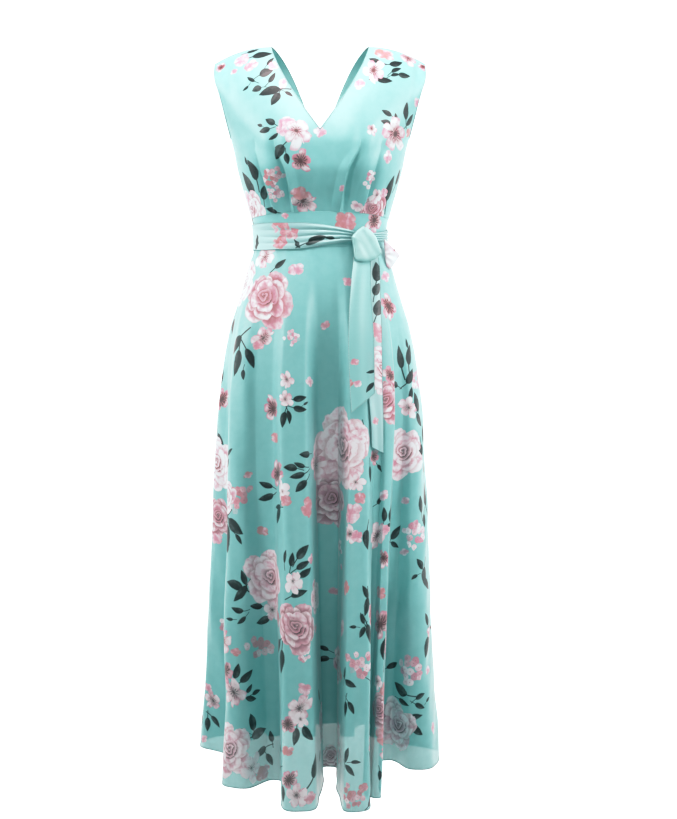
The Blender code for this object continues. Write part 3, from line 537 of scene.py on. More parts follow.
def draw_rose(x, y, tint, seed, cloud):
    """A full rose: three rings of petals, each shading what it lies on, round a loose whorl."""
    x, y = x + (y * 2.9 + seed * 19).math("SINE") * 0.07, y + (x * 3.3 + seed * 23).math("SINE") * 0.07
    low = ((x * 0.55 + y * 0.85) / ((x * x + y * y).math("SQRT") + 0.05)).soft(-0.2, 0.9)
    colour = (cloud - 0.25 + tint * 0.5).soft(0.0, 1.0).mix(PETAL_WHITE, PETAL_PINK)
    whole = None
    for count, radius, notch, shift in ((5, 0.96, 0.22, 0.0), (5, 0.74, 0.16, 0.12), (4, 0.54, 0.10, 0.31)):
        if whole is not None:
            x, y = x - (seed - 0.5) * 0.16, y + 0.05
        inside, apart, which = petal_ring(x, y, count, radius, notch, seed + shift, cloud)
        cover = inside.soft(0.0, 0.03)
        rim = 1 - inside.soft(0.0, 0.05)
        depth = inside.soft(0.06, 0.30)
        vary = (which * 0.37 + seed * 3).math("FRACT")
        blush = depth * 0.45 + vary * 0.4 + (cloud - 0.5) * 1.7 + tint * 0.42 - 0.14
        blush = blush + apart.soft(0.86, 1.0) * 0.2
        face = blush.soft(0.0, 1.0).mix(PETAL_WHITE, PETAL_PINK)
        face = (rim * (0.30 if whole is None else 0.0)).mix(face, PETAL_PINK)
        face = ((depth * 0.55 + vary * 0.2) * (tint - 0.45).soft(0.0, 0.5)).mix(face, DUSTY)
        shadow = (inside.soft(-0.13, 0.0) * (0.15 + tint * 0.45)).mix(colour, DUSTY)
        if whole is None:
            colour, whole = face, cover
        else:
            colour = cover.mix(shadow, face)
    far = (x * x * 0.85 + y * y * 1.2).math("SQRT")
    heart = (0.34 + low * 0.12 - far + (cloud - 0.5) * 0.2).soft(0.0, 0.14)
    turned = y.math("ARCTAN2", x) / (2 * math.pi)
    band = far * 7.0 - turned + seed + (cloud - 0.5) * 1.3
    band = (band + (turned * 6 * math.pi).math("SINE") * 0.16).math("FRACT")
    fold = band.soft(0.25, 0.95).mix(DUSTY, PETAL_PINK)
    fold = ((0.75 - tint * 0.6 - low * 0.3) * band).soft(0.0, 0.6).mix(fold, PETAL_WHITE)
    colour = (heart * (0.60 + low * 0.4)).mix(colour, fold)
    line = heart * (0.38 - band).soft(0.0, 0.28) * (0.22 + low * (0.38 + tint * 0.5))
    line = line + (0.09 - far).soft(0.0, 0.08) * 0.6
    return line.mix(colour, ROSE_BROWN), whole


def draw_bloom(x, y, tint, seed, cloud):
    """A blossom seen a little from one side: five uneven petals and brown streaks from its eye."""
    bent, bowed = (y * 3.4 + seed * 21).math("SINE") * 0.10, (x * 2.7 + seed * 17).math("SINE") * 0.10
    x, y = x * (1 + seed * 0.22) + bent, y + bowed
    inside, apart, which = petal_ring(x, y, 5, 0.94, 0.34, seed, cloud * 1.9 - 0.45)
    vary = (which * 0.41 + seed * 5).math("FRACT")
    inside = inside - vary * 0.14
    x, y = x + 0.16 * (seed - 0.5), y + 0.20 * (seed - 0.3)
    far = (x * x + y * y).math("SQRT")
    rim = (1 - inside.soft(0.0, 0.22)) * 0.55 + apart.soft(0.80, 1.0) * 0.55
    blush = rim * (0.45 + tint * 0.5) + (cloud - 0.5) * 2.0 + vary * (0.30 + tint * 0.55) - 0.12 + tint * 0.25
    colour = blush.soft(0.0, 1.0).mix(PETAL_WHITE, PETAL_PINK)
    colour = ((0.80 - far + (cloud - 0.5) * 0.5).soft(0.0, 0.6) * tint * 0.95).mix(colour, DUSTY)
    streaks = (y.math("ARCTAN2", x) * 13 + cloud * 14).math("SINE").soft(-0.4, 0.7)
    eye = (0.12 + tint * 0.14 - far + (cloud - 0.5) * 0.25).soft(0.0, 0.12) * 0.9
    fine = (0.30 + tint * 0.34 - far + (cloud - 0.5) * 0.3).soft(0.0, 0.26) * streaks * 0.9
    return eye.math("MAXIMUM", fine).mix(colour, ROSE_BROWN), inside.soft(0.0, 0.06)


def draw_sprig(x, y, tint, seed, cloud):
    """A close head of tiny blossoms, each with a darker eye."""
    place = x.node("ShaderNodeCombineXYZ", {}, {0: x + seed * 17, 1: y + seed * 29})
    cells = {"feature": "F1", "voronoi_dimensions": "2D"}
    spots = place.node("ShaderNodeTexVoronoi", cells, {"Vector": place, "Scale": 2.6, "Randomness": 0.85})
    chance = spots.outlets()[1].parts()[0]
    middle_x, middle_y, _ = spots.outlets()[2].parts()
    middle_x, middle_y = middle_x - seed * 17, middle_y - seed * 29
    kept = (0.92 - (middle_x * middle_x + middle_y * middle_y).math("SQRT") - chance * 0.25).soft(0.0, 0.01)
    body = (0.62 - spots + (cloud - 0.5) * 0.4).soft(0.0, 0.10) * kept
    blush = (chance * 1.1 + tint * 0.45 - 0.25 + spots * 0.25 + (cloud - 0.5) * 1.4).soft(0.0, 1.0)
    colour = blush.mix(PETAL_WHITE, PETAL_PINK)
    colour = ((tint - 0.55).soft(0.0, 0.4) * chance * 0.8).mix(colour, CORAL)
    return ((0.15 - spots).soft(0.0, 0.12) * 0.45).mix(colour, DUSTY), body


def draw_petal(x, y, tint, seed, cloud):
    """A small open bud. The deepest ones are coral."""
    bent = (y * 2.2 + seed * 9).math("SINE") * 0.16
    inside, apart, which = petal_ring(x + bent, y * (1 + seed * 0.4), 4, 0.92, 0.24, seed, cloud * 1.9 - 0.45)
    vary = (which * 0.37 + seed * 3).math("FRACT")
    blush = tint * 0.7 + (cloud - 0.5) * 1.9 + inside.soft(0.25, 0.7) * 0.3
    blush = blush + apart.soft(0.8, 1.0) * 0.3 + vary * 0.3
    colour = blush.soft(0.0, 1.1).mix(PETAL_WHITE, PETAL_PINK)
    coral = (tint - 0.7).soft(0.0, 0.3) * (vary * 0.5 + (cloud - 0.5) * 2.2 + 0.35).soft(0.0, 1.0)
    return coral.mix(colour, CORAL), inside.soft(0.0, 0.10)


def drawing(kind, draw):
    """A group of nodes that draws one kind of motif about its own middle."""
    tree = bpy.data.node_groups.new(f"{kind} drawing", "ShaderNodeTree")
    for name in ("X", "Y", "Tint", "Seed", "Cloud"):
        tree.interface.new_socket(name, in_out="INPUT", socket_type="NodeSocketFloat")
    tree.interface.new_socket("Colour", in_out="OUTPUT", socket_type="NodeSocketColor")
    tree.interface.new_socket("Mask", in_out="OUTPUT", socket_type="NodeSocketFloat")
    given = tree.nodes.new("NodeGroupInput")
    colour, mask = draw(*(Line(tree, socket) for socket in list(given.outputs)[:5]))
    result = tree.nodes.new("NodeGroupOutput")
    tree.links.new(colour.socket, result.inputs["Colour"])
    tree.links.new(mask.socket, result.inputs["Mask"])
    return tree


DRAWS = (draw_sprig, draw_leaf, draw_rose, draw_bloom, draw_petal)
DRAWINGS = {kind: drawing(kind, draw) for kind, draw in zip(PRINT_LAYERS, DRAWS)}


def crepe_surface(line, shader, depth):
    """The grain of crepe: twisted threads and a faint unevenness. It returns the unevenness."""
    place = line.node("ShaderNodeTexCoord", {}, {}, "Object")
    grain = line.node("ShaderNodeTexNoise", {}, {"Vector": place, "Scale": 900.0, "Detail": 2.0})
    slub = line.node("ShaderNodeTexNoise", {}, {"Vector": place, "Scale": 60.0, "Detail": 3.0})
    height = grain * 0.7 + slub * 0.5
    bumped = line.node("ShaderNodeBump", {}, {"Strength": depth, "Distance": 0.0006, "Height": height})
    line.tree.links.new(bumped.socket, shader.inputs["Normal"])
    return slub


def stored(line, name, output="Vector"):
    """What a piece of cloth stores on its faces under a name. It is nothing where none is stored."""
    return line.node("ShaderNodeAttribute", {"attribute_name": name}, {}, output)


def print_on(line, colour):
    """Every layer of motifs drawn over a ground colour. It returns the colour and where the ink is."""
    place = line.node("ShaderNodeUVMap", {"uv_map": "cloth"}, {})
    u, v, _ = place.parts()
    ink = u * 0.0
    wash = line.node("ShaderNodeTexNoise", {}, {"Vector": place, "Scale": 95.0, "Detail": 3.0})
    for kind, count in PRINT_LAYERS.items():
        for layer in range(count):
            at = stored(line, f"{kind}{layer}_at").parts()
            of = stored(line, f"{kind}{layer}_of").parts()
            down = v - at[1]
            right = u - at[0] + of[2] * down
            cosine, sine = at[2].math("COSINE"), at[2].math("SINE")
            x, y = (right * cosine + down * sine) / of[0], (down * cosine - right * sine) / of[0]
            seed = (at[0] * 37.7 + at[1] * 11.3).math("FRACT")
            values = {"X": x, "Y": y, "Tint": of[1], "Seed": seed, "Cloud": wash}
            drawn, mask = line.node("ShaderNodeGroup", {"node_tree": DRAWINGS[kind]}, values).outlets()
            mask = mask * of[0].soft(0.0, 0.0005)
            colour, ink = mask.mix(colour, drawn), ink.math("MAXIMUM", mask)
    return colour, ink


printed, line, shader = new_material(
    "printed chiffon", 0.45, Sheen_Weight=0.25, Sheen_Roughness=0.35, Specular_IOR_Level=0.55
)
uneven = crepe_surface(line, shader, 0.30).soft(0.3, 0.7)
ground = stored(line, "plain_side", "Fac").mix(uneven.mix(AQUA, AQUA_DEEP), SASH_AQUA)
ground, ink = print_on(line, stored(line, "pale_side", "Fac").mix(ground, SASH_PALE))
line.tree.links.new(ground.socket, shader.inputs["Base Color"])
line.tree.links.new((ink * 0.06 + 0.91).socket, shader.inputs["Alpha"])


def show_side(piece, side):
    """Marks a piece of the sash as showing the plain or the pale side of the chiffon."""
    marked = piece.data.attributes.new(side, "FLOAT", "FACE")
    marked.data.foreach_set("value", np.ones(len(piece.data.polygons), np.float32))


BODICE_PRINT = [
    leaf(253, 51, 5, 10, 0), leaf(261, 55, 9, 5, 0), leaf(270, 61, 5, 50, 0),
    leaf(265, 73, 7, 20, 1), leaf(272, 78, 6, 60, 0), leaf(251, 80, 5, 145, 0),
    leaf(246, 88, 4, 225, 0), leaf(257, 88, 5, 200, 1), leaf(271, 91, 11, 195, 0),
    leaf(276, 98, 8, 245, 0.5), leaf(288, 94, 5, -35, 0), petal(242, 60, 8, 0, 0.75),
    petal(252, 65, 8, 40, 0.8), petal(234, 71, 4, 0, 0.8), bloom(220, 67, 6, 0, 1),
    petal(273, 65, 6, 0, 0.7), petal(282, 84, 6, 60, 0.6), petal(385, 54, 10, 0, 0.95),
    bloom(409, 58, 9, 0, 0.6), leaf(375, 60, 6, 165, 0), leaf(395, 64, 7, 25, 0),
    leaf(396, 70, 6, 35, 0), leaf(395, 75, 5, 20, 0), leaf(404, 76, 6, 5, 0.5),
    leaf(384, 81, 8, 0, 0), bloom(375, 70, 13, 0, 0.5), petal(360, 84, 7, 60, 0.6),
    bloom(423, 67, 6, 0, 1), leaf(418, 57, 4, -30, 0), bloom(298, 134, 18, 10, 0.3),
    petal(289, 121, 8, 0, 0.6), petal(282, 130, 8, 90, 0.65), bloom(302, 160, 13, 30, 1),
    leaf(271, 122, 6, 150, 0.6), leaf(260, 125, 3, 160, 0.5), leaf(265, 130, 6, 195, 0.6),
    leaf(274, 136, 6, 215, 0), leaf(279, 151, 9, 235, 0.7), leaf(287, 159, 6, -80, 0.4),
    petal(319, 133, 7, 0, 0.7), bloom(372, 129, 7, 0, 0.4), bloom(396, 135, 16, 20, 0.5),
    petal(388, 157, 6, 50, 0.6), leaf(387, 113, 6, 150, 0.3), leaf(387, 123, 6, 160, 0.5),
    leaf(396, 117, 4, 100, 0.3), leaf(406, 112, 9, 92, 0), leaf(410, 120, 6, 60, 0),
    petal(417, 102, 5, 90, 0.6), petal(408, 133, 5, 0, 1), sprig(372, 179, 9, 0, 0),
    petal(342, 188, 4, 90, 0.7), leaf(390, 190, 10, 90, 0.2), leaf(398, 177, 6, 85, 0),
    rose(374, 210, 14, 0, 0.9), bloom(376, 196, 8, 0, 0.1), petal(383, 193, 5, 0, 0.7),
    petal(356, 206, 7, 0, 0.2), leaf(253, 171, 10, 108, 0), leaf(249, 184, 10, 115, 0.2),
    leaf(246, 161, 4, 110, 0), leaf(263, 193, 7, 75, 0.7), rose(252, 210, 14, 0, 0.2),
    petal(248, 199, 6, 0, 0.6), sprig(272, 177, 11, 0, 0.85), sprig(275, 193, 9, 0, 0.7),
    bloom(305, 200, 15, 30, 0.6), petal(300, 193, 9, 0, 0.9), leaf(273, 210, 6, 160, 0),
]
# The print goes on where the picture doesn't show it, in sprays of the same motifs. Each motif of a
# spray has its place from the spray's middle and half its size in metres, its turn and its tint.
SPRAYS = [
    [rose(0, 0, 0.040, 0, 0.7), leaf(-0.052, 0.020, 0.017, 200, 0.2), leaf(-0.046, 0.040, 0.018, 230, 0),
     bloom(0.044, 0.026, 0.018, 40, 0.2), leaf(0.050, -0.020, 0.015, 20, 0.3),
     leaf(0.056, 0.0, 0.014, -10, 0), bloom(-0.020, 0.050, 0.013, 0, 0.8),
     leaf(0.004, 0.062, 0.015, 270, 0.2)],
    [bloom(0, 0, 0.022, 0, 0.3), bloom(0.026, 0.024, 0.014, 60, 1), leaf(-0.030, -0.006, 0.014, 170, 0.5),
     leaf(-0.026, 0.016, 0.013, 215, 0.3), leaf(0.010, -0.034, 0.016, 75, 0.2),
     petal(0.036, -0.010, 0.009, 0, 0.8)],
    [sprig(0, 0, 0.024, 0, 0.7), leaf(0.026, 0.022, 0.015, -40, 0.2), leaf(-0.026, 0.016, 0.014, 220, 0.4),
     petal(0.036, -0.022, 0.008, 0, 0.7)],
    [rose(0, 0, 0.034, 0, 0.25), rose(0.036, 0.050, 0.028, 90, 0.9), leaf(-0.040, 0.026, 0.018, 220, 0),
     leaf(-0.050, -0.004, 0.015, 180, 0.5), bloom(0.046, -0.006, 0.015, 20, 0.5),
     leaf(0.010, 0.086, 0.016, 260, 0.1)],
    [petal(0, 0, 0.009, 0, 0.8), petal(0.050, 0.034, 0.007, 60, 0.5)],
]
SPRAY_STEP, SPRAY_STRAY, SPRAY_EDGE = 0.150, 0.035, 0.02


def unseen_stamps(grids, seed, hidden=None, step=SPRAY_STEP):
    """Sprays where the picture doesn't show the cloth: as hidden says for each grid, or all over."""
    chance = np.random.default_rng(seed)
    hidden = hidden or [np.ones(points.shape[:2], bool) for points, _ in grids]
    stamps = []
    for (points, cloth), unseen in zip(grids, hidden):
        low, high = cloth.reshape(-1, 2).min(axis=0), cloth.reshape(-1, 2).max(axis=0)
        rows, columns = (high - low)[::-1] // step + 2
        for row, column in np.ndindex(int(rows), int(columns)):
            shift = (column + row % 2 / 2) * step
            middle = low + (shift, row * step) + chance.uniform(-SPRAY_STRAY, SPRAY_STRAY, 2)
            spray = SPRAYS[chance.integers(len(SPRAYS))]
            lean = chance.uniform(-math.pi, math.pi)
            for kind, dx, dy, half, turn, tint in spray:
                u = middle[0] + dx * math.cos(lean) - dy * math.sin(lean)
                v = middle[1] + dx * math.sin(lean) + dy * math.cos(lean)
                off = np.hypot(cloth[..., 0] - u, cloth[..., 1] - v)
                spot = np.unravel_index(np.argmin(off), off.shape)
                if off[spot] < SPRAY_EDGE and unseen[spot]:
                    slip = slip_at(points, cloth, *spot)
                    stamps.append((kind, u, v, half, lean - math.radians(turn), tint, slip))
    return stamps


def declare(piece, node, slot, width, length, held, layers=1, **extra):
    """Hides the model's part that a piece of cloth replaces; its slot, sizes, hold, layers and extras are not
    used.
    """
    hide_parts(node)


# A rolled edge follows the rim of each chiffon piece: a narrow roll of its own cloth, sewn down with
# a fine running stitch.
ROLL, STITCH_PITCH, STITCH_LENGTH, STITCH_THICKNESS = 0.0010, 0.0042, 0.0026, 0.00028


def rolled_edge_tree():
    """The node tree: a tube along a path, and stitches on it."""
    tree = bpy.data.node_groups.new("rolled edge", "GeometryNodeTree")
    sizes = dict.fromkeys(("Roll", "Pitch", "Stitch", "Thread"), "Float")
    for name, kind in {"Rim": "Geometry", **sizes, "Cloth": "Material", "Yarn": "Material"}.items():
        tree.interface.new_socket(name, in_out="INPUT", socket_type=f"NodeSocket{kind}")
    tree.interface.new_socket("Edge", in_out="OUTPUT", socket_type="NodeSocketGeometry")

    def node(kind, values=(), **settings):
        made = tree.nodes.new(kind)
        for name, value in settings.items():
            setattr(made, name, value)
        for name, value in dict(values).items():
            if isinstance(value, bpy.types.NodeSocket):
                tree.links.new(value, made.inputs[name])
            else:
                made.inputs[name].default_value = value
        return made.outputs

    given = node("NodeGroupInput")
    path = node("GeometryNodeMeshToCurve", {"Mesh": given["Rim"]})["Curve"]
    round_ = node("GeometryNodeCurvePrimitiveCircle", {"Resolution": 8, "Radius": given["Roll"]})["Curve"]
    tube = node("GeometryNodeCurveToMesh", {"Curve": path, "Profile Curve": round_, "Fill Caps": True})
    tube = node("GeometryNodeSetMaterial", {"Geometry": tube["Mesh"], "Material": given["Cloth"]})["Geometry"]
    stops = node("GeometryNodeResampleCurve", {"Curve": path, "Length": given["Pitch"]}, mode="LENGTH")
    heading = node("GeometryNodeInputTangent")["Tangent"]
    turn = node("FunctionNodeAlignRotationToVector", {"Vector": heading}, axis="Z")["Rotation"]
    stitch = {"Vertices": 5, "Radius": given["Thread"], "Depth": given["Stitch"]}
    yarn = node("GeometryNodeMeshCylinder", stitch)["Mesh"]
    placing = {"Points": stops["Curve"], "Instance": yarn, "Rotation": turn}
    sewn = node("GeometryNodeInstanceOnPoints", placing)["Instances"]
    rise = node("ShaderNodeCombineXYZ", {"Y": given["Roll"]})["Vector"]
    sewn = node("GeometryNodeTranslateInstances", {"Instances": sewn, "Translation": rise})["Instances"]
    sewn = node("GeometryNodeSetMaterial", {"Geometry": sewn, "Material": given["Yarn"]})["Geometry"]
    both = node("GeometryNodeJoinGeometry")
    join = both["Geometry"].node
    tree.links.new(tube, join.inputs[0])
    tree.links.new(sewn, join.inputs[0])
    whole = node("GeometryNodeRealizeInstances", {"Geometry": both["Geometry"]})["Geometry"]
    smooth = node("GeometryNodeSetShadeSmooth", {"Geometry": whole})["Geometry"]
    node("NodeGroupOutput", {"Edge": smooth})
    return tree


def yarn_material(name, colour):
    material, line, shader = new_material(name, 0.55, Sheen_Weight=0.3)
    place = line.node("ShaderNodeTexCoord", {}, {}, "Object")
    twist = line.node("ShaderNodeTexNoise", {}, {"Vector": place, "Scale": 700.0})
    deep = tuple(share * 0.8 for share in colour[:3]) + (1.0,)
    line.tree.links.new(twist.soft(0.3, 0.7).mix(colour, deep).socket, shader.inputs["Base Color"])
    return material


edge_tree = rolled_edge_tree()
edge_cloth = yarn_material("rolled chiffon", (0.300, 0.560, 0.560, 1.0))
edge_thread = yarn_material("aqua sewing thread", (0.480, 0.700, 0.700, 1.0))


def rolled_edge(name, paths, roll=ROLL, cloth=edge_cloth):
    """The rolled edge along some paths, as one plain mesh that rides with its cloth."""
    mesh = bpy.data.meshes.new(name)
    joints, links, base = [], [], 0
    for path in paths:
        joints += [tuple(point) for point in path]
        links += [(base + step, base + step + 1) for step in range(len(path) - 1)]
        base += len(path)
    mesh.from_pydata(joints, links, [])
    rim = bpy.data.objects.new(name, mesh)
    bpy.context.scene.collection.objects.link(rim)
    made = rim.modifiers.new("rolled edge", "NODES")
    made.node_group = edge_tree
    values = {"Roll": roll, "Pitch": STITCH_PITCH, "Stitch": STITCH_LENGTH, "Thread": STITCH_THICKNESS,
              "Cloth": cloth, "Yarn": edge_thread}
    for socket in edge_tree.interface.items_tree:
        if socket.name in values:
            made[socket.identifier] = values[socket.name]
    done = bpy.data.meshes.new_from_object(rim.evaluated_get(bpy.context.evaluated_depsgraph_get()))
    rim.modifiers.clear()
    rim.data = done
    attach(rim, "root")
    return rim


bodice_halves = {}
for name, facing in FACINGS.items():
    grids, rims = [], []
    for side in (facing, -facing):
        points, lift = bodice_half(name, side)
        bodice_halves[name, side] = points, lift
        inner, outer = (-1, 0) if side * facing > 0 else (0, -1)
        cloth = places_on_cloth(points)
        from_middle = np.abs(points[:, inner, 0])[:, None]
        cloth[..., 0] += -cloth[:, -1:, 0] - from_middle if inner else from_middle
        grid = moved(points, lift)
        grids.append((grid, cloth))
        rims.append((grid[:, inner], grid[:, outer]))
    piece, places = cloth_piece(f"bodice_{name}_chiffon", grids, printed)
    if name == "front":
        stamps = seen_stamps(grids, BODICE_PRINT)
    else:
        stamps = unseen_stamps(grids, 5)
    print_cloth(piece, places, stamps)
    split = np.abs(rims[0][0] - rims[1][0]).max(axis=1) > 1e-5
    open_rows = int(np.count_nonzero(split)) + 1
    arm_rows = [int(np.count_nonzero(np.abs(rim[1][:, 1]) > 0.006)) + 2 for rim in rims]
    neck = np.concatenate([rims[0][0][:open_rows], rims[1][0][:open_rows][::-1]])
    arms = [rim[1][1:rows] for rim, rows in zip(rims, arm_rows)]
    edges = rolled_edge(f"bodice_{name}_edges", [neck] + arms)
    declare(piece, f"bodice_{name}", "printed_chiffon", 0.46, 0.38, "gathered", with_pieces=[edges])

# The bodice linings. Plain aqua panels of the same cut lie inside the chiffon. The back one shows
# inside the V neck.
# The lining is aqua, but its colour is painted lighter than the cloth's own: painted light for the shade
# inside the V.
LINING_AQUA_PAINTED_LIGHT, LINING_AQUA_PAINTED_LIGHT_DEEP = (0.460, 0.800, 0.790, 1.0), (0.420, 0.760, 0.750, 1.0)


def plain_cloth(name, colour, deep, roughness, depth, **constants):
    """Plain cloth with the crepe grain and a faint unevenness of its colour."""
    material, line, shader = new_material(name, roughness, **constants)
    shade = crepe_surface(line, shader, depth).soft(0.3, 0.7).mix(colour, deep)
    line.tree.links.new(shade.socket, shader.inputs["Base Color"])
    return material


# Painted light: the lining's plain aqua is made lighter than the cloth's own.
plain_lining = plain_cloth("plain lining", LINING_AQUA_PAINTED_LIGHT, LINING_AQUA_PAINTED_LIGHT_DEEP, 0.55, 0.22, Sheen_Weight=0.2)
for name, facing in FACINGS.items():
    grids = []
    for side in (facing, -facing):
        points, lift = bodice_halves[name, side]
        grids.append((moved(points, np.minimum(lift, 0) - CLOTH - LAYER_GAP), places_on_cloth(points)))
    piece, _ = cloth_piece(f"bodice_lining_{name}_cloth", grids, plain_lining)
    declare(piece, f"bodice_lining_{name}", "plain_lining", 0.46, 0.38, "gathered")


# The waistband. A straight band of the printed chiffon in two halves, joined at the side seams. Its
# top edge arches a little in front.
BAND_LEVELS = [
    Level(-0.305, 0.1310, 0.0965, 0.0755),
    Level(-0.319, 0.1285, 0.0950, 0.0750),
    Level(-0.348, 0.1245, 0.0930, 0.0750),
    Level(-0.374, 0.1242, 0.0945, 0.0780),
    Level(-0.382, 0.1262, 0.0965, 0.0815),
]
BAND_BOTTOM, BAND_COLUMNS, BAND_ROWS = -0.374, 150, 26
WAIST_PRINT = [
    petal(344, 221, 13, 0, 0.88), petal(285, 215, 4, 0, 0.8), leaf(251, 222, 5, 100, 0),
    bloom(374, 223, 12, 0, 0.9),
]


def ring(levels, bearing, z, side_trim=0.0):
    """Points of the body ring as x and forward distance."""
    half, front, back = level_at(levels, z)
    share = along(bearing)
    return np.stack([(half - side_trim) * across(bearing), np.where(share > 0, front, back) * share], -1)


for name, facing in FACINGS.items():
    bearing = np.linspace(-math.pi / 2, math.pi / 2, BAND_COLUMNS + 1)
    arch = WAIST_ARCH * along(bearing) ** 2 if name == "front" else np.zeros(BAND_COLUMNS + 1)
    top = WAIST_SEAM + arch - SEAM_GAP
    z = top + (BAND_BOTTOM - top) * np.linspace(0, 1, BAND_ROWS + 1)[:, None]
    half, front_reach, back_reach = level_at(BAND_LEVELS, z)
    y = facing * (front_reach if name == "front" else back_reach) * along(bearing)
    y[:, (0, -1)] = facing * SEAM_GAP / 2
    points = np.stack([half * across(bearing), y, z], axis=2)
    if name == "back":
        points = points[:, ::-1]
    grids = [(points, places_on_cloth(points))]
    piece, places = cloth_piece(f"waistband_{name}_chiffon", grids, printed)
    stamps = seen_stamps(grids, WAIST_PRINT) if name == "front" else unseen_stamps(grids, 6)
    print_cloth(piece, places, stamps)
    declare(piece, f"waistband_{name}", "printed_chiffon", 0.36, 0.06, "gathered")


# The skirt. A front and a back of printed chiffon flare from the waistband and fall in deep folds.
# They meet at side seams that run down the outermost folds, and a narrow rolled hem ends them.
SKIRT_TOP, HEM = -0.3743, -1.345
SKIRT_LEVELS = [
    Level(-0.3743, 0.1238, 0.0940, 0.0775),
    Level(-0.3850, 0.1262, 0.0960, 0.0815),
    Level(-0.4050, 0.1340, 0.1010, 0.0910),
    Level(-0.4350, 0.1430, 0.1090, 0.1020),
    Level(-0.4750, 0.1550, 0.1180, 0.1140),
    Level(-0.5200, 0.1695, 0.1260, 0.1250),
    Level(-0.5750, 0.1810, 0.1330, 0.1330),
    Level(-0.6450, 0.1910, 0.1400, 0.1400),
    Level(-0.7300, 0.1985, 0.1470, 0.1460),
    Level(-0.8300, 0.2050, 0.1540, 0.1520),
    Level(-0.9500, 0.2090, 0.1600, 0.1580),
    Level(-1.0700, 0.2150, 0.1660, 0.1640),
    Level(-1.2000, 0.2210, 0.1720, 0.1700),
    Level(-1.3450, 0.2320, 0.1800, 0.1770),
]
Fold = namedtuple("Fold", "kind bearing hem_x hem_forward half onset hang")
FOLDS = [
    Fold("crest", -90, -0.2335, 0.000, 0.016, -0.38, -0.010),
    Fold("valley", -76, -0.160, 0.040, 0.012, -0.50, -0.004),
    Fold("crest", -58, -0.162, 0.168, 0.026, -0.40, 0.012),
    Fold("valley", -35, -0.084, 0.128, 0.012, -0.42, 0.012),
    Fold("crest", -15, -0.037, 0.236, 0.027, -0.38, 0.030),
    Fold("valley", 5, 0.018, 0.074, 0.013, -0.38, 0.006),
    Fold("crest", 22, 0.066, 0.236, 0.023, -0.42, 0.030),
    Fold("valley", 34, 0.086, 0.150, 0.005, -0.60, 0.022),
    Fold("crest", 42, 0.103, 0.196, 0.007, -0.60, 0.020),
    Fold("valley", 56, 0.126, 0.040, 0.011, -0.44, 0.004),
    Fold("crest", 72, 0.192, 0.090, 0.022, -0.40, 0.006),
    Fold("crest", 90, 0.2295, 0.000, 0.020, -0.38, 0.000),
    Fold("valley", 104, 0.160, -0.048, 0.012, -0.46, 0.000),
    Fold("crest", 118, 0.180, -0.146, 0.022, -0.40, 0.006),
    Fold("valley", 131, 0.112, -0.085, 0.012, -0.44, 0.000),
    Fold("crest", 145, 0.104, -0.206, 0.024, -0.38, 0.012),
    Fold("valley", 158, 0.056, -0.102, 0.012, -0.40, 0.004),
    Fold("crest", 172, 0.016, -0.222, 0.024, -0.38, 0.014),
    Fold("valley", 185, -0.020, -0.100, 0.012, -0.42, 0.004),
    Fold("crest", 198, -0.068, -0.214, 0.024, -0.40, 0.012),
    Fold("valley", 212, -0.092, -0.092, 0.012, -0.38, 0.000),
    Fold("crest", 227, -0.148, -0.168, 0.022, -0.42, 0.008),
    Fold("valley", 243, -0.142, -0.064, 0.011, -0.40, 0.000),
    Fold("crest", 256, -0.208, -0.080, 0.018, -0.44, -0.004),
]
LEFT_SIDE_FOLD, SIDE_CREST, SIDE_ONSET = 11, 0.030, -0.38
FOLD_GROWTH, LOBE_ROUNDING, LOBE_SHARE = 1.1, 0.38, 0.3
SKIRT_COLUMNS, SKIRT_ROWS = 400, 220
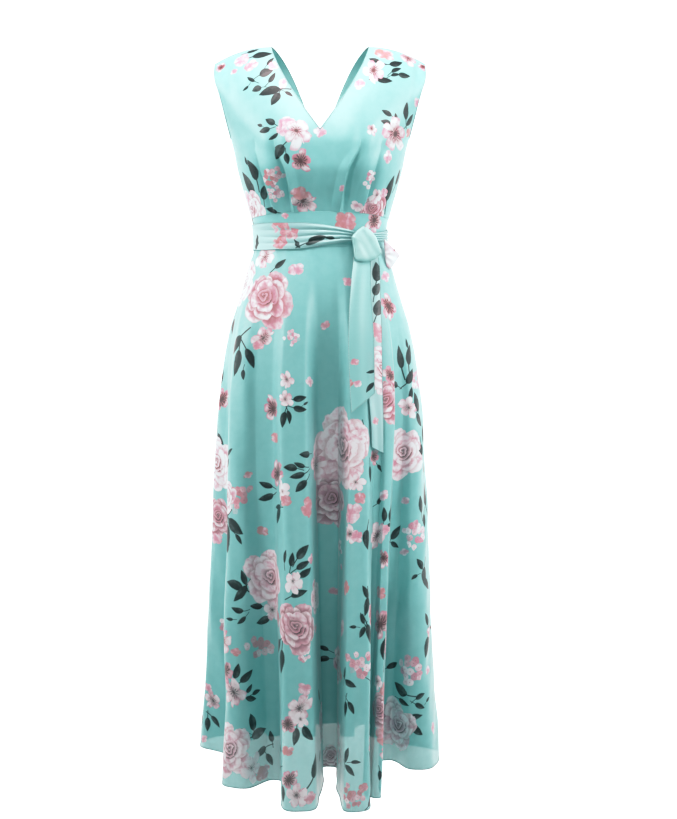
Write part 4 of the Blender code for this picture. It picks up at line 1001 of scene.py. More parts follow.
# The small soft folds between the deep ones: waves in a metre of cloth, share of the growth, phase.
RIPPLES = ((9.0, 0.0016, 0.3), (16.0, 0.0011, 1.9), (27.0, 0.0006, 4.1))
GATHERS, GATHER_DEPTH, GATHER_FADE = 19, 0.0003, 0.06
HIDING_CELL, HIDING_DEPTH, HIDING_TURN = 4, 0.02, -0.05
BACK_SPRAY_STEP = 0.118
SKIRT_PRINT = [
    bloom(265, 258, 12, 0, 0.3), leaf(280, 264, 7, 40, 0), petal(297, 269, 9, 0, 0.6),
    rose(269, 302, 26, 0, 0.8), rose(244, 284, 17, 0, 0.1), bloom(263, 339, 12, 0, 0.5),
    petal(257, 345, 6, 0, 0.8), sprig(291, 338, 8, 0, 0), leaf(236, 344, 9, 235, 0.2),
    leaf(250, 357, 11, -65, 0.1), leaf(237, 362, 11, -98, 0.2), leaf(243, 375, 5, -85, 0),
    leaf(233, 325, 6, -80, 0), petal(347, 282, 6, 0, 0.7), petal(326, 324, 6, 30, 0.8),
    petal(310, 382, 5, 0, 0.4), petal(386, 276, 6, 0, 0.7), bloom(388, 307, 12, 0, 1),
    bloom(286, 380, 9, 0, 0.2), bloom(286, 398, 9, 40, 0.2), bloom(273, 407, 11, 0, 1),
    leaf(299, 398, 7, 10, 0.2), leaf(299, 408, 7, -10, 0.2), leaf(306, 404, 3, 20, 0),
    leaf(284, 419, 8, -97, 0), leaf(289, 417, 7, -80, 0), petal(276, 438, 6, 0, 0.9),
    leaf(220, 379, 6, 80, 0), bloom(221, 400, 11, 0, 1), leaf(220, 438, 6, -40, 0),
    rose(217, 464, 22, 0, 0.05), leaf(229, 453, 4, 45, 0), leaf(226, 464, 4, 70, 0),
    bloom(390, 376, 9, 0, 0.9), rose(391, 402, 20, 0, 0.75), leaf(400, 359, 10, 100, 0),
    leaf(409, 356, 9, 75, 0.1), leaf(407, 344, 4, 95, 0), leaf(410, 377, 8, 55, 0.1),
    leaf(411, 395, 6, 75, 0.1), bloom(409, 409, 12, 0, 0.2), leaf(417, 404, 8, 100, 0.1),
    leaf(419, 419, 6, -60, 0.2), sprig(417, 381, 10, 0, 0.6), rose(401, 453, 24, 0, 0.1),
    leaf(424, 437, 8, 80, 0.1), leaf(421, 450, 6, -100, 0.2), rose(341, 450, 29, 0, 0.25),
    petal(360, 437, 9, 0, 0.1), rose(332, 503, 25, 40, 0.95), petal(351, 513, 12, 0, 0.5),
    bloom(316, 465, 13, 0, 0.5), leaf(291, 467, 7, 175, 0.4), leaf(300, 464, 6, 160, 0.2),
    leaf(298, 475, 8, 195, 0.1), leaf(302, 486, 8, 225, 0.3), leaf(306, 455, 6, 175, 0.4),
    bloom(277, 472, 11, 0, 1), bloom(281, 491, 8, 0, 0), petal(284, 501, 7, 0, 0.85),
    leaf(267, 484, 8, 165, 0.1), leaf(267, 496, 9, 200, 0.1), leaf(278, 507, 5, 200, 0),
    leaf(278, 515, 7, -100, 0), petal(248, 476, 5, 0, 0.9), sprig(239, 496, 15, 0, 0.8),
    rose(216, 517, 18, 0, 0.75), petal(217, 538, 8, 0, 0.7), leaf(227, 512, 7, 20, 0),
    leaf(234, 526, 11, -35, 0.2), leaf(224, 537, 11, -75, 0), leaf(238, 539, 6, -50, 0.1),
    petal(263, 530, 7, 0, 0.9), bloom(357, 482, 11, 30, 0.1), petal(361, 497, 7, 0, 0.85),
    bloom(350, 534, 10, 0, 0.3), petal(358, 537, 7, 0, 0.7), sprig(338, 548, 7, 0, 0),
    petal(309, 508, 8, 90, 0.85), bloom(374, 457, 8, 0, 1), leaf(371, 474, 6, -100, 0),
    leaf(380, 468, 5, -50, 0), leaf(366, 434, 7, -75, 0.1), petal(384, 496, 6, 0, 0.4),
    petal(405, 500, 5, 0, 0.7), leaf(384, 516, 7, 88, 0.1), leaf(391, 514, 7, 68, 0.1),
    leaf(390, 525, 4, 20, 0), bloom(377, 536, 14, 0, 0.35), petal(385, 529, 7, 0, 0.7),
    leaf(396, 534, 9, 45, 0.1), leaf(394, 545, 6, -30, 0.1), leaf(367, 538, 9, -95, 0.2),
    bloom(383, 559, 10, 0, 1), petal(404, 553, 5, 0, 0.7), sprig(415, 535, 14, 0, 0.6),
    leaf(425, 495, 9, 85, 0.1), leaf(421, 504, 7, 100, 0.2), leaf(424, 520, 5, -100, 0),
    leaf(421, 565, 6, 120, 0.4), leaf(424, 575, 7, -95, 0.1), leaf(415, 576, 4, 215, 0),
    leaf(427, 583, 6, -60, 0), rose(270, 577, 26, 0, 0.35), leaf(244, 578, 8, 110, 0.1),
    leaf(235, 585, 10, 165, 0.1), leaf(241, 594, 11, 230, 0.1), leaf(302, 552, 9, 50, 0.4),
    leaf(292, 560, 7, 80, 0.1), leaf(302, 565, 8, 30, 0.1), leaf(305, 574, 8, 30, 0.1),
    leaf(285, 557, 6, 85, 0), leaf(298, 594, 9, 20, 0.1), bloom(293, 583, 13, 0, 0),
    petal(312, 559, 4, 0, 0.6), leaf(238, 610, 7, 170, 0.3), leaf(257, 607, 7, 170, 0.1),
    leaf(263, 620, 8, 200, 0.6), leaf(242, 621, 6, 220, 0.1), leaf(230, 620, 4, 180, 0),
    bloom(273, 611, 11, 0, 0.2), petal(278, 619, 7, 0, 0.85), rose(296, 626, 24, 0, 0.7),
    sprig(259, 646, 14, 0, 0.85), leaf(277, 646, 8, 240, 0.1), leaf(281, 661, 9, -80, 0),
    petal(236, 651, 6, 0, 0.9), bloom(223, 641, 10, 0, 0.5), sprig(304, 657, 8, 0, 0),
    bloom(225, 673, 9, 0, 1), leaf(236, 671, 8, 75, 0.1), leaf(246, 676, 9, 40, 0.1),
    bloom(233, 695, 14, 0, 0.4), leaf(249, 688, 5, 50, 0.1), leaf(256, 692, 5, 10, 0.1),
    leaf(251, 699, 6, -15, 0.1), bloom(212, 700, 10, 0, 0.4), petal(208, 687, 6, 0, 0.7),
    leaf(208, 724, 7, -85, 0.2), leaf(215, 720, 7, -40, 0.1), petal(204, 738, 4, 0, 0.7),
    leaf(252, 723, 8, 100, 0.3), leaf(241, 732, 6, 170, 0.3), leaf(259, 733, 9, 10, 0.4),
    leaf(271, 737, 6, 100, 0.2), leaf(278, 746, 5, -20, 0), leaf(262, 752, 7, 200, 0.3),
    leaf(269, 759, 7, -60, 0.3), rose(228, 750, 23, 0, 0.2), bloom(253, 767, 13, 0, 0.1),
    petal(263, 773, 9, 0, 0.9), petal(304, 690, 8, 0, 0.6), bloom(300, 707, 15, 0, 0.25),
    bloom(288, 724, 10, 80, 1), bloom(301, 721, 9, 0, 0), leaf(296, 736, 9, -100, 0.2),
    leaf(307, 733, 9, -55, 0.1), petal(287, 752, 7, 0, 0.9), bloom(289, 781, 10, 0, 1),
    bloom(298, 797, 14, 0, 0.2), petal(310, 797, 8, 0, 0.8), leaf(315, 767, 9, 60, 0),
    leaf(283, 793, 6, -80, 0), petal(335, 592, 6, 0, 0.8), petal(345, 587, 6, 90, 0.9),
    leaf(366, 592, 7, 115, 0.1), leaf(367, 605, 9, -110, 0.1), leaf(353, 626, 4, 180, 0),
    leaf(362, 619, 6, 110, 0.1), leaf(362, 632, 6, 240, 0.2), leaf(370, 634, 8, -85, 0.1),
    bloom(379, 622, 12, 0, 1), petal(380, 592, 7, 0, 0.9), petal(348, 657, 5, 0, 0.85),
    sprig(362, 665, 13, 0, 0.7), petal(335, 674, 7, 0, 0.9), leaf(344, 674, 5, 90, 0),
    leaf(349, 684, 8, -20, 0.1), leaf(351, 706, 7, -60, 0.2), leaf(345, 708, 6, -80, 0),
    petal(316, 629, 4, 0, 0.6), petal(341, 627, 8, 90, 0.4), leaf(346, 755, 7, 80, 0.2),
    leaf(356, 763, 5, 0, 0), leaf(349, 769, 7, -40, 0.2), sprig(339, 752, 8, 0, 0.2),
    sprig(352, 797, 12, 0, 0.85), petal(364, 789, 6, 0, 0.9), leaf(371, 800, 6, 40, 0),
    rose(326, 722, 14, 0, 0.3), rose(331, 757, 12, 0, 0.95), leaf(391, 650, 9, 75, 0.2),
    leaf(392, 666, 7, 30, 0), sprig(409, 669, 15, 0, 0.6), petal(428, 670, 4, 0, 0.7),
    bloom(377, 683, 9, 0, 0.3), leaf(400, 690, 8, 160, 0.5), petal(390, 691, 8, 0, 0.9),
    leaf(420, 696, 6, 25, 0.3), leaf(402, 702, 6, -15, 0.1), leaf(419, 706, 6, -25, 0.2),
    leaf(428, 700, 3, 30, 0), leaf(414, 718, 9, 20, 0.1), leaf(404, 729, 6, -100, 0.2),
    leaf(416, 730, 8, -45, 0.2), rose(380, 711, 17, 0, 0.95), rose(395, 723, 19, 0, 0.45),
    petal(384, 735, 8, 90, 0.9), petal(433, 727, 5, 90, 0.7), leaf(427, 620, 5, 100, 0),
    leaf(427, 645, 8, -110, 0.1), petal(430, 632, 5, 0, 0.8), leaf(380, 775, 5, -90, 0),
]


class Folds:
    """The fold lobes round the skirt: three knots for each crest or valley, and curves through
    them. reach, the widths and the insets differ between the skirt and its lining."""

    def __init__(self, reach=1.0, crest_width=1.0, valley_width=1.0, valley_inset=0.0):
        hems = np.array([(fold.hem_x, fold.hem_forward) for fold in FOLDS])
        middles = [fold.bearing for fold in FOLDS]
        bearings = [middles[-1] - 360, *middles, middles[0] + 360]
        knots, places = [], []
        for index, fold in enumerate(FOLDS):
            crest = fold.kind == "crest"
            between = (hems[index - 1] + hems[(index + 1) % len(FOLDS)]) / 2
            outward = (hems[index] - between) * (1 if crest else -1)
            if np.linalg.norm(outward) < fold.half:
                outward = hems[index]
            outward = outward / np.linalg.norm(outward)
            tangent = np.array([outward[1], -outward[0]])
            if crest:
                apex = between + (hems[index] - between) * reach
            else:
                apex = hems[index] - outward * valley_inset
            half = fold.half * (crest_width if crest else valley_width)
            rounding = (-1 if crest else 1) * LOBE_ROUNDING * half
            for side in (-1, 0, 1):
                knots.append(apex + tangent * half * side + (outward * rounding if side else 0.0))
                gap = abs(bearings[index + 1 + side] - fold.bearing)
                places.append(math.radians(fold.bearing + side * gap * LOBE_SHARE))
        self.bearings = np.array(places)
        self.onsets = np.repeat([fold.onset for fold in FOLDS], 3)
        self.hangs = np.repeat([fold.hang for fold in FOLDS], 3)
        knots = np.array(knots)
        self.offsets = knots - self.base(self.bearings, np.full(len(knots), HEM))
        self.steps = np.linalg.norm(np.roll(knots, -1, 0) - knots, axis=1) ** 0.5
        self.stations = np.concatenate([[0.0], np.cumsum(self.steps)])

    def base(self, bearing, z):
        trim = SIDE_CREST * np.maximum(0.0, (SIDE_ONSET - z) / (SIDE_ONSET - HEM))
        return ring(SKIRT_LEVELS, bearing, z, trim)

    def bearing(self, at):
        return np.interp(at, self.stations, [*self.bearings, self.bearings[0] + 2 * math.pi])

    def station(self, index):
        """The station of a fold's apex."""
        return self.stations[3 * index + 1]

    def through(self, at, value):
        """A closed smooth curve through value(knot), read at stations."""
        count = len(self.steps)
        span = np.clip(np.searchsorted(self.stations, at, side="right") - 1, 0, count - 1)
        t = ((at - self.stations[span]) / self.steps[span])[:, None]
        knots = [value((span + step) % count) for step in (-1, 0, 1, 2)]
        steps = [self.steps[(span + step) % count][:, None] for step in (-1, 0, 1)]
        slopes = [(after - before) / step for before, after, step in zip(knots, knots[1:], steps)]
        shares = [before / (before + after) for before, after in zip(steps, steps[1:])]
        leave, arrive = (
            low * (1 - share) + high * share for low, high, share in zip(slopes, slopes[1:], shares)
        )
        bow = leave * t * (1 - t) ** 2 - arrive * t * t * (1 - t)
        return knots[1] + (knots[2] - knots[1]) * t * t * (3 - 2 * t) + bow * steps[1]

    def hang(self, at):
        return self.through(at, lambda knot: self.hangs[knot][:, None])[:, 0]

    def plan(self, z, at):
        """Points round the cloth as x and forward distance. z has a row of heights for each row."""

        def offset(knot):
            grown = np.maximum(0.0, (self.onsets[knot] - z) / (self.onsets[knot] - HEM)) ** FOLD_GROWTH
            return self.offsets[knot] * grown[..., None]

        return self.base(self.bearing(at), z) + self.through(at, offset)

    def cloth(self, at, bottoms, rows, inset_top=0.0, inset_hem=0.0, settled=1.0):
        """The grid of points from the waist down to the heights of its bottom edge."""
        share = np.linspace(0, 1, rows + 1)[:, None]
        z = SKIRT_TOP + (bottoms - SKIRT_TOP) * share
        outward = self.base(self.bearing(at), np.full(len(at), SKIRT_TOP))
        outward /= np.linalg.norm(outward, axis=1, keepdims=True)
        inset = inset_top + (inset_hem - inset_top) * np.minimum(1.0, share / settled)
        plan = self.plan(z, at) - outward * inset[..., None]
        return np.stack([plan[..., 0], -plan[..., 1], z], axis=2)


def ripple(points, cloth):
    """The small folds' relief over a skirt panel, gathered a little at the waistband."""
    run = cloth[..., 0] * (1 - 0.25 * cloth[..., 1])
    drop = (SKIRT_TOP - points[..., 2]) / (SKIRT_TOP - HEM)
    relief = np.zeros_like(run)
    for waves, depth, phase in RIPPLES:
        wander = 0.9 * np.sin(2 * math.pi * drop * 0.7 + phase)
        relief += depth * np.sin(2 * math.pi * waves * run + phase + wander) * np.minimum(1, drop * 2.5)
    gathered = fade((SKIRT_TOP - points[..., 2]) / GATHER_FADE) * fade(1 - drop / 0.006)
    return relief + GATHER_DEPTH * np.sin(2 * math.pi * GATHERS * run / 0.36) * gathered


def hidden_cloth(points):
    """Where on a grid the camera can't see the cloth, as it turns away or nearer cloth hides it."""
    right, down, scale = to_picture(points)
    spots = (right // HIDING_CELL).astype(int), (down // HIDING_CELL).astype(int)
    nearest = np.full((PICTURE_WIDTH // HIDING_CELL + 2, PICTURE_HEIGHT // HIDING_CELL + 2), np.inf)
    np.minimum.at(nearest, spots, scale)
    facing = moved(points, 1.0)[..., 1] - points[..., 1]
    behind = scale * FOCAL_PIXELS > nearest[spots] * FOCAL_PIXELS + HIDING_DEPTH
    return behind | (facing > HIDING_TURN)


skirt_folds = Folds()
right_seam, left_seam = skirt_folds.station(0), skirt_folds.station(LEFT_SIDE_FOLD)
seams = right_seam, left_seam, skirt_folds.stations[-1] + right_seam
for name, facing, first, last in (("front", -1, *seams[:2]), ("back", 1, *seams[1:])):
    at = np.linspace(first, last, SKIRT_COLUMNS + 1) % skirt_folds.stations[-1]
    points = skirt_folds.cloth(at, HEM - skirt_folds.hang(at), SKIRT_ROWS)
    points[:, (0, -1), 1] = facing * SEAM_GAP / 2
    cloth = places_on_cloth(points)
    cloth[..., 0] -= cloth[:, SKIRT_COLUMNS // 2, 0][:, None]
    beside = np.minimum(1.0, np.minimum(np.arange(SKIRT_COLUMNS + 1), np.arange(SKIRT_COLUMNS, -1, -1)) / 8)
    points = moved(points, ripple(points, cloth) * beside)
    grids = [(points, cloth)]
    piece, places = cloth_piece(f"skirt_{name}_chiffon", grids, printed)
    if name == "front":
        stamps = seen_stamps(grids, SKIRT_PRINT) + unseen_stamps(grids, 7, [hidden_cloth(points)])
    else:
        stamps = unseen_stamps(grids, 8, step=BACK_SPRAY_STEP)
    print_cloth(piece, places, stamps)
    hem = rolled_edge(f"skirt_{name}_hem", [points[-1]])
    declare(piece, f"skirt_{name}", "printed_chiffon", 1.60, 1.02, "hung", with_pieces=[hem])


# The skirt lining. A plain darker tube hangs inside in the same folds, shorter than the chiffon, so
# that the hem below it is sheer.
LINING_COLUMNS, LINING_ROWS = 560, 90
LINING_INSET_TOP, LINING_INSET_HEM, LINING_SETTLED = 0.0021, 0.0060, 0.22
LINING_HEM_FRONT, LINING_HEM_BACK, LINING_HEM_TURN = -1.168, -1.310, (46.0, 80.0)
DEEP_AQUA, DEEP_AQUA_SHADE = (0.260, 0.520, 0.525, 1.0), (0.225, 0.470, 0.480, 1.0)
lining_folds = Folds(reach=0.50, crest_width=0.40, valley_width=1.90, valley_inset=0.0160)
at = np.linspace(0, lining_folds.stations[-1], LINING_COLUMNS + 1)
at[-1] = 0.0
turned = np.abs((np.degrees(lining_folds.bearing(at)) + 180) % 360 - 180)
share = (turned - LINING_HEM_TURN[0]) / (LINING_HEM_TURN[1] - LINING_HEM_TURN[0])
bottoms = LINING_HEM_BACK + (LINING_HEM_FRONT - LINING_HEM_BACK) * fade(share)
insets = LINING_INSET_TOP, LINING_INSET_HEM, LINING_SETTLED
points = lining_folds.cloth(at, bottoms, LINING_ROWS, *insets)
deep_lining = plain_cloth("deep lining", DEEP_AQUA, DEEP_AQUA_SHADE, 0.55, 0.22, Sheen_Weight=0.15)
piece, _ = cloth_piece("skirt_lining_cloth", [(points, places_on_cloth(points))], deep_lining)
hem = rolled_edge("skirt_lining_hem", [points[-1]], ROLL * 0.8)
declare(piece, "skirt_lining", "deep_lining", 2.20, 0.94, "hung", with_pieces=[hem])


# The sash round the waist. One soft strip of the chiffon lies over the waistband, and its gathers
# run together where the knot draws it in.
SASH_CLOTH = 0.0013
Span = namedtuple("Span", "bearing top bottom gather")
SASH_SPANS = [
    Span(-270, -0.3390, -0.3620, 0.0018),
    Span(-240, -0.3340, -0.3700, 0.0010),
    Span(-200, -0.3300, -0.3770, 0.0004),
    Span(-90, -0.3310, -0.3780, 0.0003),
    Span(-50, -0.3295, -0.3788, 0.0004),
    Span(-18, -0.3300, -0.3780, 0.0009),
    Span(-6, -0.3320, -0.3745, 0.0015),
    Span(8, -0.3365, -0.3690, 0.0022),
    Span(22, -0.3430, -0.3652, 0.0026),
    Span(38, -0.3490, -0.3640, 0.0028),
    Span(60, -0.3460, -0.3622, 0.0026),
    Span(90, -0.3390, -0.3620, 0.0018),
]
SASH_COLUMNS, SASH_ROWS, SASH_GATHERS = 420, 40, 4
SASH_PRINT = [
    sprig(283, 232, 14, 0, 0.9), leaf(297, 244, 4, 90, 0.8), leaf(316, 240, 9, 15, 0.4),
    leaf(330, 238, 5, 170, 0), leaf(257, 243, 5, 100, 0.3), petal(278, 244, 6, 0, 0.9),
]
bearings = np.linspace(-270, 90, SASH_COLUMNS + 1)
tops, bottoms, gathers = (
    curve([span.bearing for span in SASH_SPANS], [getattr(span, field) for span in SASH_SPANS], bearings)
    for field in ("top", "bottom", "gather")
)
share = np.linspace(0, 1, SASH_ROWS + 1)[:, None]
z = tops + (bottoms - tops) * share
plan = ring(BAND_LEVELS, np.radians(bearings), z)
points = np.stack([plan[..., 0], -plan[..., 1], z], axis=2)
points[:, -1] = points[:, 0]
bend = share + 0.05 * np.sin(np.radians(bearings) * 3.0) * np.sin(math.pi * share)
raised = 1.35 * gathers * np.abs(np.sin(math.pi * SASH_GATHERS * bend)) ** 0.8
points = moved(points, raised + LAYER_GAP + SASH_CLOTH)
points[:, -1] = points[:, 0]
grids = [(points, places_on_cloth(points))]
piece, places = cloth_piece("sash_band_chiffon", grids, printed)
show_side(piece, "pale_side")
away = points[..., 1] > -0.02
print_cloth(piece, places, seen_stamps(grids, SASH_PRINT) + unseen_stamps(grids, 9, [away]))
edges = rolled_edge("sash_band_edges", [points[0], points[-1]], ROLL * 0.7)
declare(piece, "sash_band", "printed_chiffon", 0.74, 0.055, "folded", with_pieces=[edges])


# The sash's tails. They hang from under the knot and lie on the skirt: the printed one behind, the
# plain side of the cloth in front, each cut off on a slant.
Cut = namedtuple("Cut", "left_x left_z right_x right_z")
FRONT_TAIL = [
    Cut(0.0640, -0.3690, 0.0900, -0.3690),
    Cut(0.0590, -0.4030, 0.0912, -0.4030),
    Cut(0.0546, -0.4530, 0.0914, -0.4530),
    Cut(0.0518, -0.5000, 0.0940, -0.5000),
    Cut(0.0512, -0.5500, 0.0962, -0.5450),
    Cut(0.0528, -0.6145, 0.0972, -0.5950),
    Cut(0.0559, -0.6714, 0.0973, -0.6388),
]
BACK_TAIL = [
    Cut(0.0760, -0.3690, 0.1010, -0.3690),
    Cut(0.0740, -0.4150, 0.1075, -0.4150),
    Cut(0.0730, -0.4700, 0.1093, -0.4700),
    Cut(0.0750, -0.5300, 0.1113, -0.5300),
    Cut(0.0810, -0.5900, 0.1120, -0.5900),
    Cut(0.0870, -0.6500, 0.1127, -0.6500),
    Cut(0.0915, -0.7000, 0.1136, -0.7000),
    Cut(0.0931, -0.7360, 0.1139, -0.7480),
]
TAIL_STANDOFF, TAIL_EASE, TAIL_LAP, TAIL_ROWS, TAIL_COLUMNS = 0.0014, 0.0003, 0.03, 120, 24
TAIL_CUP, TAIL_WAVE, TAIL_BRIDGE_ROWS = 0.0026, 0.0007, 5
TAIL_PRINT = [
    leaf(377, 272, 10, 80, 0.3), leaf(376, 290, 7, 60, 0.8), leaf(378, 308, 8, 70, 0.8),
    petal(378, 331, 10, 90, 0.8), rose(380, 372, 20, 0, 0.1), petal(376, 421, 4, 0, 0.8),
]
FRONT_TAIL_PRINT = [
    petal(356, 362, 5, 0, 0.8), petal(350, 384, 5, 0, 0.9), petal(357, 384, 5, 0, 0.6),
    leaf(371, 372, 5, 165, 0), leaf(370, 387, 7, 200, 0),
]


def forward_at_waist(x, z):
    """How far forward the waistband stands at places on the front."""
    half, front, _ = level_at(BAND_LEVELS, z)
    return front * along(bearing_of(np.minimum(1.0, x / half)))


front_stations = np.linspace(skirt_folds.station(2), skirt_folds.station(LEFT_SIDE_FOLD), 400)
reach_x, reach_z = np.linspace(0.03, 0.13, 201), np.linspace(SKIRT_TOP, -0.78, 160)
reaches = np.zeros((len(reach_z), len(reach_x)))
for row, height in enumerate(reach_z):
    plan = skirt_folds.plan(np.full(len(front_stations), height), front_stations)
    left, run = plan[:-1], np.diff(plan, axis=0)
    share = (reach_x[:, None] - left[:, 0]) / np.where(np.abs(run[:, 0]) < 1e-9, 1e-9, run[:, 0])
    reaches[row] = np.where((share >= 0) & (share <= 1), left[:, 1] + run[:, 1] * share, 0.0).max(axis=1)


def forward_on_skirt(x, z):
    """How far forward the waistband or the skirt stands at places on the front."""
    column = np.clip((x - reach_x[0]) / (reach_x[1] - reach_x[0]), 0, len(reach_x) - 1.001)
    row = np.clip((z - reach_z[0]) / (reach_z[1] - reach_z[0]), 0, len(reach_z) - 1.001)
    i, j = row.astype(int), column.astype(int)
    down, right = row - i, column - j
    upper = reaches[i, j] * (1 - right) + reaches[i, j + 1] * right
    lower = reaches[i + 1, j] * (1 - right) + reaches[i + 1, j + 1] * right
    return np.where(z > SKIRT_TOP, forward_at_waist(x, z), upper * (1 - down) + lower * down)


def tail(name, beneath, cuts, side, motifs, phase):
    """A tail that lies on what is beneath it. It returns how far forward its own face stands."""
    heights = [-(cut.left_z + cut.right_z) / 2 for cut in cuts]
    rows = np.linspace(heights[0], heights[-1], TAIL_ROWS + 1)
    left_x, left_z, right_x, right_z = (
        curve(heights, [getattr(cut, field) for cut in cuts], rows)[:, None] for field in Cut._fields
    )
    shares = np.linspace(0, 1, TAIL_COLUMNS + 1)
    xs, zs = left_x + (right_x - left_x) * shares, left_z + (right_z - left_z) * shares
    below = np.array([beneath(x, z) for x, z in zip(xs, zs)])
    straight = below[:, :1] + (below[:, -1:] - below[:, :1]) * shares
    bridged = straight + np.maximum(0.0, (below - straight).max(axis=1, keepdims=True))
    near_rows = np.arange(TAIL_ROWS + 1)[:, None] + np.arange(-TAIL_BRIDGE_ROWS, TAIL_BRIDGE_ROWS + 1)
    near_rows = np.clip(near_rows, 0, TAIL_ROWS)
    bridged = bridged[near_rows].mean(axis=1) + TAIL_EASE
    points = np.stack([xs, -bridged - TAIL_STANDOFF, zs], axis=2)
    drop = np.linspace(0, 1, TAIL_ROWS + 1)[:, None]
    wave = np.sin(2 * math.pi * (1.4 * shares + phase) + 0.9 * np.sin(rows * 14.0)[:, None])
    cupped = TAIL_CUP * (1 - np.sin(math.pi * shares)) * fade(drop / 0.75)
    points = moved(points, SASH_CLOTH + TAIL_WAVE * (1 + wave) * np.minimum(1.0, drop * 4) + cupped)
    grids = [(points, places_on_cloth(points))]
    piece, places = cloth_piece(f"{name}_chiffon", grids, printed)
    show_side(piece, side)
    print_cloth(piece, places, seen_stamps(grids, motifs))
    rim = np.concatenate([points[:, 0], points[-1, 1:-1], points[::-1, -1]])
    edge = rolled_edge(f"{name}_edge", [rim], ROLL * 0.6, plain_edge if "front" in name else edge_cloth)
    slot = "plain_lining" if "front" in name else "printed_chiffon"
    declare(piece, name, slot, 0.055, rows[-1] - rows[0] + 0.03, "hung", with_pieces=[edge])

    def face(x, z):
        near = points[np.clip(np.searchsorted(rows, -z), 1, TAIL_ROWS)]
        reach = np.array([np.interp(at_x, row[:, 0], -row[:, 1]) for at_x, row in zip(x, near)])
        return np.maximum(beneath(x, z), np.where(-z < rows[-1] + TAIL_LAP, reach, 0.0))

    return face


plain_edge = yarn_material("rolled plain edge", (0.330, 0.580, 0.570, 1.0))
on_back_tail = tail("sash_tail_back", forward_on_skirt, BACK_TAIL, "pale_side", TAIL_PRINT, 0.1)
on_front_tail = tail("sash_tail_front", on_back_tail, FRONT_TAIL, "plain_side", FRONT_TAIL_PRINT, 0.6)


# The knot. The plain side of the sash wraps once over the crossing and is drawn tight, so its folds
# run from the upper edge down to the turned lower one.
KNOT_OUTLINE = [
    (0.0766, -0.3365), (0.0850, -0.3395), (0.0930, -0.3460), (0.1000, -0.3550), (0.1045, -0.3671),
    (0.1100, -0.3810), (0.1100, -0.3880), (0.0987, -0.3975), (0.0878, -0.4012), (0.0768, -0.4022),
    (0.0650, -0.3998), (0.0618, -0.3930), (0.0594, -0.3725), (0.0570, -0.3560), (0.0660, -0.3455),
]
SASH_STACK = LAYER_GAP + SASH_CLOTH + 0.0028
KNOT_STEP_TOP, KNOT_STEP_BOTTOM, KNOT_STANDOFF, KNOT_THICKNESS = -0.364, -0.376, 0.0007, 0.0090
KNOT_RINGS, KNOT_SPOKES, KNOT_FOLD, KNOT_FOLD_DEPTH = 36, 180, 0.0140, 0.0002
# The knot shows the sash's plain side, painted lighter and whiter than on the front tail, as painted light.
KNOT_AQUA_PAINTED_LIT, KNOT_AQUA_PAINTED_LIT_DEEP = (0.370, 0.650, 0.635, 1.0), (0.345, 0.620, 0.605, 1.0)


def pad_points(outline, rings, spokes, crown):
    """A closed form from its outline: flat behind and crowned in front by crown(share)."""
    outline = np.array(outline)
    count = len(outline)
    rim_at = np.linspace(0, count, spokes, endpoint=False)
    corner = rim_at.astype(int)
    t = (rim_at - corner)[:, None]
    a, b, c, d = (outline[(corner + step) % count] for step in (-1, 0, 1, 2))
    bend = 0.5 * ((c - a) * t + (2 * a - 5 * b + 4 * c - d) * t**2 + (3 * b - a - 3 * c + d) * t**3) + b
    rim = bend * 0.30 + (b + (c - b) * t) * 0.70
    centre = outline.mean(axis=0)
    sizes = np.concatenate([np.linspace(0.02, 1, 7), np.linspace(1, 0.012, rings)])
    heights = np.concatenate([np.zeros(7), crown(np.linspace(1, 0.012, rings))])
    flat = centre + (rim - centre) * sizes[:, None, None]
    return flat, np.broadcast_to(heights[:, None], flat.shape[:2]).copy()


def closed_pad(name, points, material):
    """The mesh of a pad: its rings joined, and a point at each pole."""
    rings, spokes = points.shape[:2]
    index = np.arange(rings * spokes).reshape(rings, spokes)
    beside = np.roll(index, -1, axis=1)
    quads = np.stack([index[:-1], beside[:-1], beside[1:], index[1:]], axis=-1).reshape(-1, 4)
    poles = [points[0].mean(axis=0).tolist(), points[-1].mean(axis=0).tolist()]
    corners = points.reshape(-1, 3).tolist() + poles
    back, front = rings * spokes, rings * spokes + 1
    faces = quads.tolist() + [(back, int(b), int(a)) for a, b in zip(index[0], beside[0])]
    faces += [(front, int(a), int(b)) for a, b in zip(index[-1], beside[-1])]
    mesh = bpy.data.meshes.new(name)
    mesh.from_pydata(corners, [], faces)
    mesh.uv_layers.new(name="cloth")
    mesh.shade_smooth()
    mesh.materials.append(material)
    piece = bpy.data.objects.new(name, mesh)
    bpy.context.scene.collection.objects.link(piece)
    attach(piece, "root")
    return piece


flat, out = pad_points(
    KNOT_OUTLINE, KNOT_RINGS, KNOT_SPOKES, lambda size: KNOT_THICKNESS * (1 - size**4) ** 0.5
)
x, z = flat[..., 0], flat[..., 1]
grain = (x - 0.080) * 0.86 + (z + 0.372) * 0.50
out -= KNOT_FOLD_DEPTH * (out / KNOT_THICKNESS) * (1 - np.cos(grain * 2 * math.pi / KNOT_FOLD))
above = fade((KNOT_STEP_TOP - z) / (KNOT_STEP_TOP - KNOT_STEP_BOTTOM))
forward = forward_at_waist(x, z) + SASH_STACK * above + KNOT_STANDOFF
below = np.array([on_front_tail(row_x, row_z) for row_x, row_z in zip(x, z)])
forward = np.maximum(forward, below + KNOT_STANDOFF)
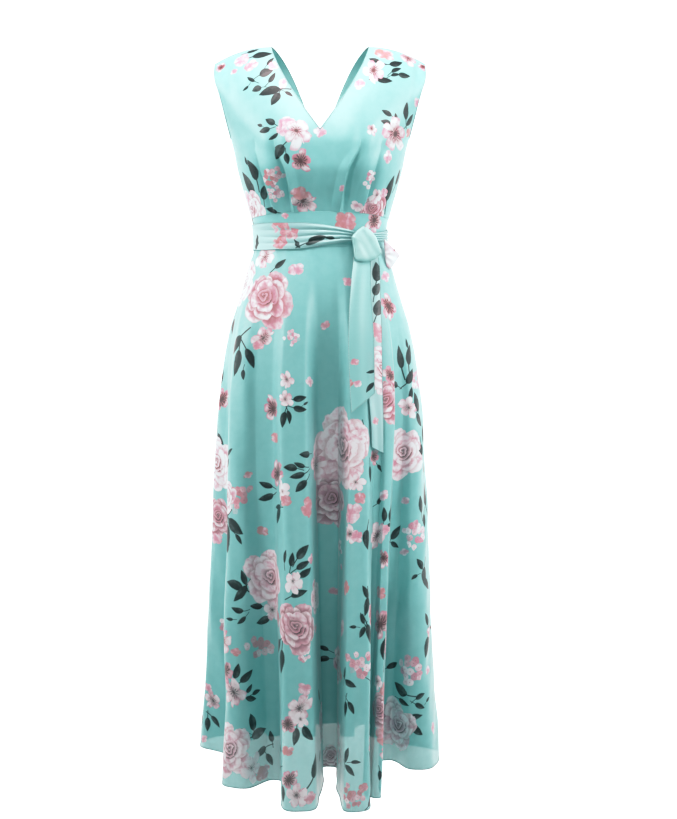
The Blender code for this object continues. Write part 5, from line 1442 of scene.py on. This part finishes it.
# The face of the knot is one smooth slope, so only its back follows the steps of what it lies on.
slope = np.stack([np.ones(x.size), x.ravel(), z.ravel(), x.ravel() ** 2, z.ravel() ** 2], axis=1)
weights, *_ = np.linalg.lstsq(slope, forward.ravel(), rcond=None)
eased = (slope @ weights).reshape(x.shape)
face_share = fade(1 - out / (0.6 * KNOT_THICKNESS))
forward = forward * (1 - face_share) + np.maximum(eased, forward - 0.003) * face_share
turn = bearing_of(x / level_at(BAND_LEVELS, z)[0])
knot_points = np.stack([x + out * np.sin(turn), -forward - out * np.cos(turn), z], axis=2)
# Painted light: the knot's cloth is a lighter copy of the sash's plain side.
painted_lit_knot_cloth = plain_cloth("knot chiffon", KNOT_AQUA_PAINTED_LIT, KNOT_AQUA_PAINTED_LIT_DEEP, 0.42, 0.25, Sheen_Weight=0.25)
piece = closed_pad("sash_knot_chiffon", knot_points, painted_lit_knot_cloth)
declare(piece, "sash_knot", "plain_lining", 0.055, 0.070, "folded", layers=2)


# The small loop beside the knot. The end of the sash is folded back on itself in a point and stands
# out to the side.
LOOP_OUTLINE = [
    (0.000, -0.3585), (0.022, -0.3720), (0.042, -0.3876), (0.032, -0.3990), (0.018, -0.4134),
    (0.006, -0.4085), (0.002, -0.3850),
]
LOOP_ROOT_X, LOOP_ROOT_FORWARD, LOOP_TURN, LOOP_THICKNESS = 0.1183, 0.0520, math.radians(42.0), 0.0040
LOOP_RINGS, LOOP_SPOKES = 24, 140
flat, out = pad_points(
    LOOP_OUTLINE, LOOP_RINGS, LOOP_SPOKES, lambda size: LOOP_THICKNESS * (1 - size**2.6) ** 0.55
)
run, z = flat[..., 0], flat[..., 1]
spread = np.arctan2(z + 0.386, run + 0.006)
out += 0.0006 * (out / LOOP_THICKNESS) * np.sin(spread * 11)
x = LOOP_ROOT_X + run * math.cos(LOOP_TURN) + out * math.sin(LOOP_TURN)
forward = LOOP_ROOT_FORWARD - run * math.sin(LOOP_TURN) + out * math.cos(LOOP_TURN)
loop_cloth, line, shader = new_material("loop chiffon", 0.45, Sheen_Weight=0.25)
crepe_surface(line, shader, 0.25)
place = line.node("ShaderNodeTexCoord", {}, {}, "Object")
wash = line.node("ShaderNodeTexNoise", {}, {"Vector": place, "Scale": 48.0})
petals = (wash.soft(0.40, 0.75) * 0.7).mix(PETAL_WHITE, PETAL_PINK)
line.tree.links.new(wash.soft(0.68, 0.72).mix(petals, ROSE_BROWN).socket, shader.inputs["Base Color"])
piece = closed_pad("sash_loop_chiffon", np.stack([x, -forward, z], axis=2), loop_cloth)
declare(piece, "sash_loop", "printed_chiffon", 0.044, 0.042, "folded", layers=2)
